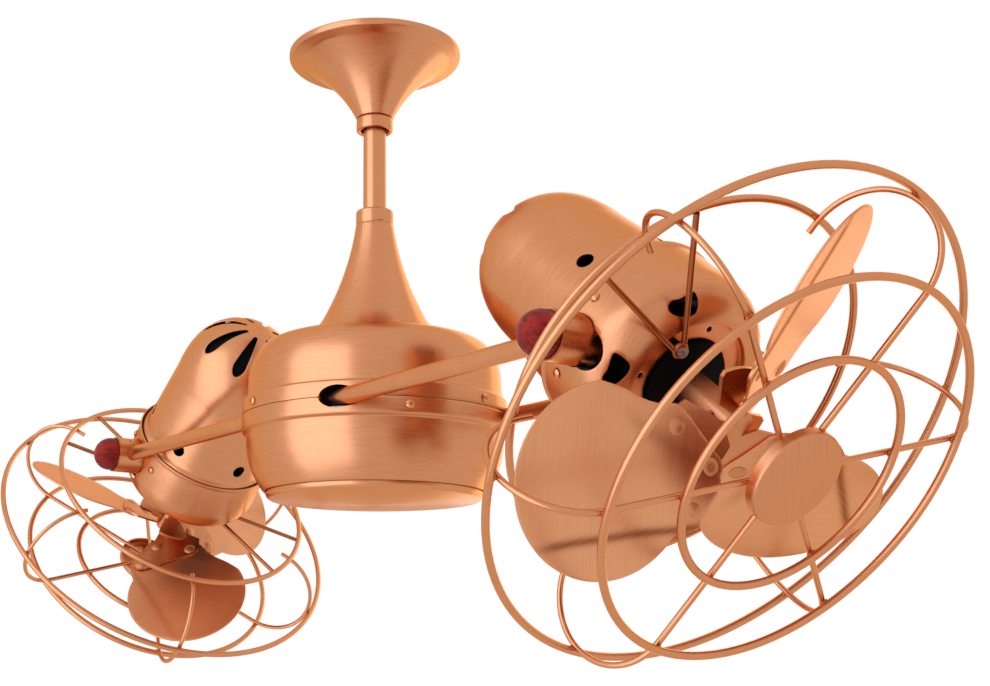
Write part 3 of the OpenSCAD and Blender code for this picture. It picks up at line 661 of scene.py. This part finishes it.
# %% [markdown]
# ## The ceiling side: canopy, collar and bell
# The canopy is a trumpet: a short upright rim, a tight roll, then one long hollow curve down to the
# collar. The bell below it is the same shape turned over. Their sizes are read from the frame, so they
# sit exactly where the construction puts them.

# %% Canopy
upright = Matrix.Identity(4)
sheet, cover_step = 1.6, 3.0


def size_of(name):
    """A node's box in millimetres: lowest corner, highest corner."""
    low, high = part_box(name)
    return low / mm, high / mm


def dress(piece, body, *replaced):
    """A finished piece rides on its body and stands for its construction node."""
    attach(piece, body)
    if replaced:
        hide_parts(*replaced)
    return piece


def upright_cover(node, line, body, **more):
    """A cover spun round the downrod's axis, in place of its construction node."""
    cover = spun_cover(node + "_spun", Outline(line, cover_step), sheet, upright, copper_upright,
                       lining=inner_painted_shade, **more)
    return dress(cover, body, node)


canopy_low, canopy_high = size_of("canopy")
canopy_r, canopy_h = canopy_high.x, -canopy_low.z
downrod_r = size_of("downrod")[1].x
neck_r = size_of("canopy_collar")[1].x
canopy_line = ([(canopy_r, 0), (canopy_r, -3.5)] + arc((canopy_r - 3, -3.5), 3, -6, -66, 5)
               + through((canopy_r - 12.3, -8), (0.456 * canopy_r, -0.53 * canopy_h), (neck_r, -canopy_h), 26)
               + [(downrod_r + 0.4, -canopy_h)])
canopy = upright_cover("canopy", canopy_line, "ceiling_mount")
print("canopy", len(canopy.data.polygons), "faces")


# %% Turned solids
def turned(name, loop, form, material, around=96, sharp=40):
    """Turns a closed outline of (radius, height) round the form's Z axis into a solid."""
    mesh = bpy.data.meshes.new(name)
    solid = bmesh.new()
    rings = []
    for i in range(around):
        angle = 2 * math.pi * i / around
        rings.append([solid.verts.new(round_axis(form, r, angle, h)) for r, h in loop])
    for a, b in zip(rings, rings[1:] + rings[:1]):
        for i in range(len(loop)):
            j = (i + 1) % len(loop)
            solid.faces.new((a[i], a[j], b[j], b[i]))
    bmesh.ops.remove_doubles(solid, verts=solid.verts, dist=0.004 * mm)
    bmesh.ops.dissolve_degenerate(solid, edges=solid.edges, dist=0.001 * mm)
    bmesh.ops.recalc_face_normals(solid, faces=solid.faces)
    solid.to_mesh(mesh)
    solid.free()
    mesh.materials.append(material)
    return settled(new_object(name, mesh), sharp)


collar_foot, collar_top = (corner.z for corner in size_of("canopy_collar"))
grip_r, lip_inner, step_z = downrod_r + 0.05, downrod_r + 2.4, collar_foot + 7
collar_loop = rounded([(grip_r, step_z), (grip_r, collar_top), (neck_r, collar_top), (neck_r, collar_foot),
                       (lip_inner, collar_foot), (lip_inner, step_z), (grip_r, step_z)], 3.2, 6)
collar = dress(turned("canopy_collar_turned", collar_loop[:-1], upright, copper_upright), "ceiling_mount",
               "canopy_collar")
print("collar", len(collar.data.polygons), "faces")

# %% Bell cover
bell_low, bell_high = size_of("bell_cover")
bell_r, bell_top, bell_end = bell_high.x, bell_high.z, bell_low.z
rod_z = joints["rotor_turn"]["pos_m"][2] / mm
waist = (neck_r + 0.2, bell_top - 14.5)
flare = (47.2, rod_z + 88)
bell_line = (rounded([(grip_r, bell_top), (neck_r, bell_top), (neck_r, bell_top - 12)], 2.2, 5)
             + rounded([(neck_r, bell_top - 12.2), (neck_r - 0.9, bell_top - 13.2), waist], 0.6, 2)
             + through(waist, (29.5, rod_z + 128), flare, 30)[1:]
             + through(flare, (54.6, rod_z + 78), (bell_r, bell_end), 10)[1:])
bell = upright_cover("bell_cover", bell_line, "ceiling_mount")
print("bell", len(bell.data.polygons), "faces")

# %% [markdown]
# ## The turning housing
# Two bowls meet at a seam at the height of the rods. Each has an upright band that stands a little
# proud, with a soft step into the bowl. Four slots let the rods out. The bottom plate closes the lower
# bowl with a rolled rim.

# %% Housing
band_r = size_of("housing_upper")[1].x
band_h, seam_gap = 14, 0.2
rod_r, rod_y = 7, 83.2
foot_r = size_of("bottom_plate")[1].x
low_z = size_of("housing_lower")[0].z
top_z = size_of("housing_upper")[1].z


def slot_loops(edge_length):
    """The four rod slots on the band, as loops of (angle, length), wider on the side away from the axis.
    edge_length is the length of the outline at the height of the rods."""
    near, far, apart = rod_r + 0.6, 9.3, 6.4
    lean = math.degrees(math.acos((near - far) / apart))
    slot = arc((rod_y + apart, 0), far, -lean, lean, 14) + arc((rod_y, 0), near, lean, 360 - lean, 14)
    return [[(math.atan2(front * y, end * math.sqrt(band_r**2 - y**2)), edge_length - height)
             for y, height in slot] for front in (-1, 1) for end in (-1, 1)]


shoulder_r, shoulder_z, shoulder_reach = band_r - 28.9, rod_z + 31.6, 24.2
band_top, band_foot = rod_z + band_h, rod_z - band_h
bowl_line = ([(28, top_z), (shoulder_r, top_z)]
             + [(shoulder_r + shoulder_reach * math.sin(a), shoulder_z + (top_z - shoulder_z) * math.cos(a))
                for a in sweep_angles(4, 90, 24)]
             + rounded([(band_r - 4.7, rod_z + 30), (band_r - 4.1, band_top - 0.2),
                        (band_r - 0.5, band_top - 0.9), (band_r, band_top - 2.2), (band_r, rod_z + seam_gap)],
                       0.9, 3))
upper = upright_cover("housing_upper", bowl_line, "rotor", around=156,
                      holes=slot_loops(Outline(bowl_line, cover_step).length[-1] + seam_gap))

bowl_r, bowl_out, bowl_foot_r = 72, band_r - 4, 95
curve = math.degrees(math.acos((bowl_r - (bowl_out - bowl_foot_r)) / bowl_r))
lower_line = (rounded([(band_r, rod_z - seam_gap), (band_r, rod_z - 6), (band_r - 0.2, band_foot + 0.8),
                       (band_r - 3.9, band_foot - 1.4), (bowl_out, band_foot - 4)], 1.6, 4)
              + arc((bowl_out - bowl_r, band_foot - 4.2), bowl_r, 0, -curve + 1.2, 20)[1:])
lower = upright_cover("housing_lower", lower_line, "rotor", holes=slot_loops(-seam_gap), around=156)
print("housing", len(upper.data.polygons), len(lower.data.polygons), "faces")

# %% Bottom plate
rim_z = low_z - 1.6
plate_line = ([(foot_r - 4.5, low_z - 0.1), (foot_r - 0.6, low_z - 0.1)]
              + arc((foot_r - 5.2, rim_z - 0.4), 5, 10, -66, 10)
              + through((foot_r - 4.6, low_z - 6.4), (45, low_z - 9.9), (0, low_z - 10.9), 26)[1:])
plate = upright_cover("bottom_plate", plate_line, "rotor")
print("bottom plate", len(plate.data.polygons), "faces")

# %% [markdown]
# ## The heads' shells
# Each head is two spun shells on a common axis. The rear one is a long dome with eight teardrop vents
# round its pole and six round holes near its edge. A head's own frame has its origin at the pivot and Z
# along the shaft, the way the air goes, so both heads can be made by the same lines.

# %% Head frames and vents
head_form = {}
for side in sides:
    z_way = head_axis[side]
    x_way = Vector((0, 1, 0)).cross(z_way)
    axes = Matrix((x_way, Vector((0, 1, 0)), z_way)).transposed()
    head_form[side] = Matrix.Translation(head_origin[side]) @ axes.to_4x4()

vent_angle = {"right": -80, "left": -98}


def on_plan(points, outline, start, end):
    """Turns plan points seen along the axis into (angle, length) on an outline between two lengths."""
    return [(math.atan2(y, x), outline.find(math.hypot(x, y), RADIUS, start, end)) for x, y in points]


def smooth_loop(points, step=1.4):
    """Closes a loop and splits its longer sides."""
    out = []
    for a, b in zip(points, points[1:] + points[:1]):
        out += between(a, b, max(1, round(math.dist(a, b) / step)))
    return out


def turned_plan(points, degrees):
    """Plan points turned round the middle."""
    c, s = math.cos(math.radians(degrees)), math.sin(math.radians(degrees))
    return [(x * c - y * s, x * s + y * c) for x, y in points]


teardrop = smooth_loop(arc((17, 0), 2.2, 98, 262, 6) + arc((48, 0), 6.6, -82, 82, 12))
print("teardrop vent of", len(teardrop), "points")

# %% Rear shells
dome_r, dome_s, dome_foot, skirt_r = 62.4, 175, 100, 70.85
dome_line = [(dome_r * math.sin(a) ** 0.87, -dome_foot - (dome_s - dome_foot) * math.cos(a) ** 0.8)
             for a in sweep_angles(0, 90, 44)]
dome_line[0] = (0.0, -dome_s)
dome_line += rounded([dome_line[-1], (dome_r + 5, -30), (skirt_r, -25.5), (skirt_r, 1)], 3, 4)[1:]
dome_outline = Outline(dome_line, 3.2)
vent_zone = dome_outline.find(-dome_foot, HEIGHT)
side_hole_angle, side_hole_height, side_hole_r = -127, -44, 6.4


def side_hole(outline, degrees, height, radius, points=22):
    """A round hole in the side of a shell."""
    middle = outline.find(height, HEIGHT)
    wall_r, _ = outline.at(middle)
    return [(math.radians(degrees) + radius * math.cos(a) / wall_r, middle + radius * math.sin(a))
            for a in sweep_angles(0, 360 - 360 / points, points - 1)]


for side in sides:
    vents = [on_plan(turned_plan(teardrop, vent_angle[side] + 45 * k), dome_outline, 0, vent_zone)
             for k in range(8)]
    holes = [side_hole(dome_outline, side_hole_angle + 60 * k, side_hole_height, side_hole_r)
             for k in range(6)]
    rear = spun_cover(side + "_rear_shell_spun", dome_outline, sheet, head_form[side], copper_head[side],
                      holes=vents + holes, seam=math.radians(vent_angle[side] + 22.5), lining=inner_painted_shade)
    dress(rear, side + "_head", side + "_rear_shell")
    print(side, "rear shell", len(rear.data.polygons), "faces")

# %% [markdown]
# ## Painted shade liners and medallions
# Through a vent one looks into a dark motor chamber, not through the head. A thin black liner inside
# the rear shell paints that shade in. The medallion is a plain disc, brushed straight across like a blade.

# %% Painted shade liners and medallions
# The liner is a black sheet that paints in the shade of the motor chamber.
lining_gap, lining_end, lining_wall, medallion_heading = 4.2, -34, 0.5, 0.6
painted_shade_outline = [(max(r - lining_gap, 0.0), h + lining_gap * math.cos(math.radians(min(90, 90 * r / dome_r))))
              for r, h in dome_line if h < lining_end]
for side in sides:
    painted_shade_sheet = spun_cover(side + "_liner", Outline(painted_shade_outline, 9.0), lining_wall, head_form[side], black_paint,
                       seam=0.3, around=48, rim=0)
    dress(painted_shade_sheet, side + "_head")
    disc_copper = sheet_copper("copper_medallion_" + side, head_form[side], medallion_heading)
    finish_nodes(disc_copper, side + "_medallion")
print("liners of", len(painted_shade_sheet.data.polygons), "faces")

# %% [markdown]
# ## The front shells
# The front shell has a window for each pivot, a rounded shoulder with six vents shaped like leaves, and
# a lip that turns in to the floor round the motor. A window is drawn as it is drilled, seen along the
# tilt axis, and then laid on the flat outline.

# %% Front shells
shell_r, shoulder_s, lip_r, lip_s, floor_s, cover_r = 72.5, 12, 47, 39, 33, 31.4
leaf_angle, floor_hole_angle, floor_hole_out, floor_hole_r = -88, 2, 39.5, 2.1
hole_r, notch_s, notch_r = 18.1, 12, 14
edge_r = shell_r + 1.2
front_line = (rounded([(shell_r + 0.2, -26), (edge_r, -25.4), (edge_r, -23.8), (shell_r, -22.4),
                       (shell_r, 10)], 0.7, 3)
              + [(lip_r + (shell_r - lip_r) * math.cos(a), shoulder_s + (lip_s - shoulder_s) * math.sin(a))
                 for a in sweep_angles(0, 88, 20)]
              + rounded([(lip_r + 0.4, lip_s), (lip_r - 1.0, lip_s), (lip_r - 1.2, floor_s + sheet),
                         (cover_r + 1, floor_s + sheet)], 1.2, 4))
front_outline = Outline(front_line, 2.8)
shoulder_start = front_outline.find(shoulder_s, HEIGHT)
lip_length = front_outline.find(lip_s - 0.3, HEIGHT, shoulder_start)


def window_edge():
    """The edge of a pivot window, as (across, ahead): a round hole for the boss, and a notch ahead of it."""
    meet = (notch_s**2 + hole_r**2 - notch_r**2) / (2 * notch_s)
    at_hole = math.degrees(math.asin(meet / hole_r))
    at_notch = math.degrees(math.asin((meet - notch_s) / notch_r))
    notch = arc((0, notch_s), notch_r, at_notch, 180 - at_notch, 18)
    hole = arc((0, 0), hole_r, 180 - at_hole, 360 + at_hole, 26)
    return notch + hole[1:-1]


def pivot_window(outline, way):
    """One window, drilled through the shell along the tilt axis."""
    loop = []
    for x, s in window_edge():
        v = outline.find(s, HEIGHT, 0, lip_length)
        loop.append((way * math.pi / 2 - way * math.asin(x / outline.at(v)[0]), v))
    return loop


leaf = closed_curve([(-10.5, -7.5), (-11.2, -1), (-8.6, 5.6), (-3.2, 7.4), (3.0, 6.0), (8.6, 2.4),
                     (11.0, -1.6), (10.2, -5.0), (6.6, -7.2), (1.0, -6.2), (-4.0, -6.8)])
leaf_r, leaf_spread = 60.5, 62
leaf_middle = front_outline.find(leaf_r, RADIUS, shoulder_start, lip_length)
floor_hole = arc((floor_hole_out, 0), floor_hole_r, 0, 330, 11)
floor_holes = [on_plan(turned_plan(floor_hole, floor_hole_angle + 90 * k), front_outline, lip_length, None)
               for k in range(4)]
windows = [pivot_window(front_outline, way) for way in (1, -1)]
for side in sides:
    vents = [[(math.radians(leaf_angle + 60 * k) + x / leaf_spread, leaf_middle + y) for x, y in leaf]
             for k in range(6)]
    front = spun_cover(side + "_front_shell_spun", front_outline, sheet, head_form[side], copper_head[side],
                       holes=vents + floor_holes + windows, seam=math.radians(leaf_angle + 30), around=150,
                       lining=inner_painted_shade)
    dress(front, side + "_head", side + "_front_shell")
    print(side, "front shell", len(front.data.polygons), "faces")

# %% [markdown]
# ## Pressed blades
# A blade is cut from flat aluminium sheet with brushed lines across it, and pressed: two soft steps run
# over it, one along the outer part and one across the root, where the sheet turns on to the hub's plate.
# The steps are a height added to the flat before it goes to its pitch. They show as a soft darker line,
# partly by the slope and partly by a painted shade along each step, which an attribute on the blade's
# front gives the finish.

# %% Blade outline
blade_pitch, brush_heading = math.radians(27), math.radians(68)
blade_reach, blade_height, blade_radius, blade_sheet = 100.4, 91.5, 61, 1.4
spin_angle = {"right": -61.5, "left": -176.3}
blade_tone, blade_deep = colour(224, 158, 114), colour(212, 145, 101)
root = [(-14, -59), (-21, -55), (-28.5, -49.5), (-35.5, -43), (-42, -37.8), (-48.5, -34), (-55, -31.8),
        (-62, -28.6), (-67.5, -20), (-71.6, -10), (-77.6, 4), (-82.6, 17), (-76.8, 29), (-67.7, 39),
        (-54, 48.6), (-36, 49.2)]
rim_start, rim_end = (math.degrees(math.atan2(y, x)) for x, y in (root[0], root[-1]))
rim = arc((0, 0), blade_radius, rim_start, rim_end, 92)
blade_outline = rim + open_curve([rim[-2]] + [rim[-1]] + root[-2:0:-1] + [rim[0], rim[1]])[1:]
print("blade outline of", len(blade_outline), "points")

# %% The pressing
outer_depth, root_depth = 0.36, 0.42
outer_step = open_curve([(90, 25), (74, 25), (57, 25.3), (33, 28.4), (13, 32.9), (-10, 37.7), (-28, 42.3),
                         (-44, 46.7), (-62, 51), (-80, 56)], 3)
root_step = open_curve([(4, -64), (-10, -50), (-24, -34), (-33, -23), (-43, -13.5), (-53, -3.5), (-64, 8),
                        (-80, 26), (-95, 42)], 3)


def side_of(point, line):
    """Distance from a line of points, positive on its left."""
    best, signed = 1e9, 0.0
    for a, b in zip(line, line[1:]):
        ab, ap = Vector(b) - Vector(a), Vector(point) - Vector(a)
        t = min(max(ap.dot(ab) / ab.length_squared, 0), 1)
        d = (ap - ab * t).length
        if d < best:
            best, signed = d, math.copysign(d, ab.x * ap.y - ab.y * ap.x)
    return signed


def pressed(x, y):
    """The relief of the pressing in millimetres."""
    near_rim = min(1, max(0, (blade_radius - x) / 14))
    near_root = 1 / (1 + math.exp((x + 28) / 4))
    outer = outer_depth * math.tanh(side_of((x, y), outer_step) / 3.4) * near_rim
    return outer - root_depth * near_root * math.tanh(side_of((x, y), root_step) / 5.0)


def fold_shade_at(x, y):
    """How much painted shade a point gets: most along the middle of each step."""
    outer = math.exp(-(side_of((x, y), outer_step) / 2.7) ** 2) * min(1, max(0, (60 - x) / 18))
    root = math.exp(-(side_of((x, y), root_step) / 5.5) ** 2) * min(1, max(0, (-20 - x) / 14))
    return min(1.0, 0.85 * outer + 0.3 * root)


print(f"the middle of a blade is pressed by {pressed(0, 0):.2f} mm")


# %% Blades
def store_fold_shade(mesh, form):
    """Stores the painted shade on every point of a finished blade's front."""
    back, known = form.inverted(), {}
    painted_fold_shade = mesh.attributes.new("painted_fold_shade", "FLOAT", "POINT")
    for i, v in enumerate(mesh.vertices):
        flat = (back @ v.co) / mm
        key = (round(flat.x, 1), round(flat.y, 1))
        if key not in known:
            known[key] = (pressed(*key), fold_shade_at(*key))
        painted_fold_shade.data[i].value = known[key][1] if flat.z > known[key][0] else 0.0


def blade_form(side, k):
    """The frame of one blade: its middle, with X outwards from the hub and Z the sheet's normal."""
    out_to_middle = Matrix.Translation(Vector((blade_reach, 0, blade_height)) * mm)
    return (head_form[side] @ Matrix.Rotation(math.radians(spin_angle[side] + 120 * k), 4, "Z")
            @ out_to_middle @ Matrix.Rotation(blade_pitch, 4, "X"))


spacing, edge_gap = 2.6, 1.4
grid = [(-80 + spacing * i, -60 + spacing * j) for i in range(54) for j in range(47)]
filling = [p for p in grid
           if inside(p, blade_outline) and min(math.dist(p, q) for q in blade_outline) > edge_gap]
relief = {}
for side in sides:
    for k in range(3):
        form = blade_form(side, k)
        finish = sheet_copper(f"copper_blade_{side}_{k + 1}", form, brush_heading, tone=blade_tone,
                              deep=blade_deep)

        def place(x, y):
            key = (round(x, 3), round(y, 3))
            if key not in relief:
                relief[key] = pressed(x, y)
            return form @ (Vector((x, y, blade_sheet / 2 + relief[key])) * mm)

        blade = flat_sheet(f"{side}_blade_{k + 1}_pressed", blade_outline, [], filling, place, blade_sheet,
                           finish, rim=0.35)
        store_fold_shade(blade.data, form)
        dress(blade, side + "_fan", f"{side}_blade_{k + 1}")
print("blades of", len(blade.data.polygons), "faces")

# %% [markdown]
# ## Welds
# Where a rib crosses a ring the wires are spot welded, and the weld leaves a small uneven fillet between
# them. Each is a lump that spans the crossing, roughened so that no two are alike. The radius and height
# of each ring are those of the construction. A rib crosses four rings: two in front, and two where it
# bends round the guard's edge.

# %% Weld beads
ring_small, ring_front, ring_rear, rear_height = 81.6, 136.4, 136.8, 40.3
front_height, rib_height, loop_middle, loop_radius, loop_height = 142, 137.7, 131.6, 46.7, 91
crossing, weld_r = (front_height + rib_height) / 2 - 0.3, loop_radius + 2.0
weld_long, weld_wide, weld_high = 3.2, 2.3, 1.5
rib_angle = {"right": -73, "left": -47.5}
slope = Vector((ring_rear - loop_middle, rear_height - loop_height)).normalized()
spots = [(ring_small, crossing, (0, 1)), (ring_front, crossing, (0, 1)),
         (loop_middle + weld_r, loop_height, (1, 0)),
         (loop_middle + slope.x * weld_r, loop_height + slope.y * weld_r, tuple(slope))]
random.seed(4)


def weld_lump(solid, centre, outward, along):
    """Adds one weld lump to a bmesh: centre of the crossing, away from the rib, and the way the ring runs."""
    across = outward.cross(along)
    lump = bmesh.ops.create_icosphere(solid, subdivisions=3, radius=1.0)["verts"]
    swell = [random.uniform(0.85, 1.15) for _ in range(3)]
    for v in lump:
        wobble = 1 + 0.1 * math.sin(7 * v.co.x + 9 * swell[0]) * math.sin(6 * v.co.y + 5 * swell[1])
        v.co = centre + wobble * mm * (along * v.co.x * weld_long * swell[0]
                                       + across * v.co.y * weld_wide * swell[1]
                                       + outward * v.co.z * weld_high * swell[2])


for side in sides:
    mesh = bpy.data.meshes.new(side + "_welds")
    solid = bmesh.new()
    form = head_form[side]
    turn = form.to_3x3()
    for k in range(6):
        a = math.radians(rib_angle[side] + 60 * k)
        radial, tangent = Vector((math.cos(a), math.sin(a), 0)), Vector((-math.sin(a), math.cos(a), 0))
        for r, height, (out_r, out_s) in spots:
            centre = form @ ((radial * r + Vector((0, 0, height))) * mm)
            outward = turn @ (radial * out_r + Vector((0, 0, out_s)))
            weld_lump(solid, centre, outward.normalized(), (turn @ tangent).normalized())
    solid.to_mesh(mesh)
    solid.free()
    mesh.materials.append(copper_weld)
    mesh.shade_smooth()
    welds = new_object(side + "_welds", mesh)
    dress(welds, side + "_head")
print("welds", len(welds.data.polygons), "faces on the last head")

# %% [markdown]
# ## The light and the floor
# A brushed finish shows the room it is in. The studio is plain white, which the camera, and so also the
# metal, sees as white. What draws the soft bright bands on the covers is a large window of cool daylight
# to the left of the camera. A second, weaker one behind gives the far side its bands. The floor lies far
# below and mixes in a plain white where the camera or the metal sees it, so its own shading stays faint.

# %% The white studio
world = bpy.data.worlds.new("studio")
bpy.context.scene.world = world
world.use_nodes = True
tree = world.node_tree
tree.nodes.clear()
soft = add(tree, "Background", {"Color": (1, 1, 1, 1), "Strength": 0.8})
white = add(tree, "Background", {"Color": (1, 1, 1, 1), "Strength": 1.0})
ray = add(tree, "LightPath")
seen_directly = math_node(tree, "MAXIMUM", ray.outputs["Is Camera Ray"], ray.outputs["Is Transmission Ray"])
seen = math_node(tree, "MAXIMUM", seen_directly, ray.outputs["Is Glossy Ray"])
mixed = add(tree, "MixShader", {"Fac": seen, 1: soft.outputs[0], 2: white.outputs[0]})
output = tree.nodes.new("ShaderNodeOutputWorld")
tree.links.new(mixed.outputs[0], output.inputs["Surface"])
print("white studio")


# %% Windows
fan_middle = Vector((0, 0, -0.35))


def window(name, heading, rise, distance, width, height, brightness):
    """A soft window: an area light that faces the fan, its brightness given as what a mirror would show."""
    light = bpy.data.lights.new(name, "AREA")
    light.shape = "RECTANGLE"
    light.size, light.size_y = width, height
    light.color = (0.6, 0.76, 1.0)
    light.energy = brightness * math.pi * width * height
    obj = new_object(name, light)
    way = Vector((math.cos(heading) * math.cos(rise), math.sin(heading) * math.cos(rise), math.sin(rise)))
    obj.location = fan_middle + way * distance
    obj.rotation_euler = way.to_track_quat("Z", "Y").to_euler()
    obj.visible_camera = False
    return obj


camera_side = camera_heading - math.radians(90)
window("window_left", camera_side - math.radians(52), math.radians(-4), 3.0, 3.4, 5.6, 1.9)
window("window_behind", camera_side + math.radians(150), math.radians(10), 3.0, 2.6, 4.0, 1.6)

# %% Floor
floor_level, floor_size = -3.6, 40
bpy.ops.mesh.primitive_plane_add(size=floor_size, location=(0, 0, floor_level))
floor = bpy.context.object
floor.name = "floor"
pale, tree, surface = new_material("floor_pale")
place = add(tree, "TexCoord").outputs["Object"]
mottle = noise(tree, place, 3.0, 3.0)
shade = two_tones(tree, mottle, (0.8, 0.8, 0.8, 1), (0.84, 0.84, 0.84, 1), 0, 1)
tree.links.new(shade, surface.inputs["Base Color"])
surface.inputs["Roughness"].default_value = 0.9
glow = add(tree, "Emission", {"Color": (1, 1, 1, 1), "Strength": 1.0})
ray = add(tree, "LightPath")
mirrored = math_node(tree, "MAXIMUM", ray.outputs["Is Glossy Ray"], ray.outputs["Is Transmission Ray"])
paler = add(tree, "MixShader", {"Fac": 0.8, 1: surface.outputs[0], 2: glow.outputs[0]})
direct = add(tree, "MixShader", {"Fac": ray.outputs["Is Camera Ray"], 1: surface.outputs[0],
                                 2: paler.outputs[0]})
mixed = add(tree, "MixShader", {"Fac": mirrored, 1: direct.outputs[0], 2: glow.outputs[0]})
tree.links.new(mixed.outputs[0], tree.nodes["Material Output"].inputs["Surface"])
floor.data.materials.append(pale)
print("floor at", floor_level)

# %% End
print("scene ready")
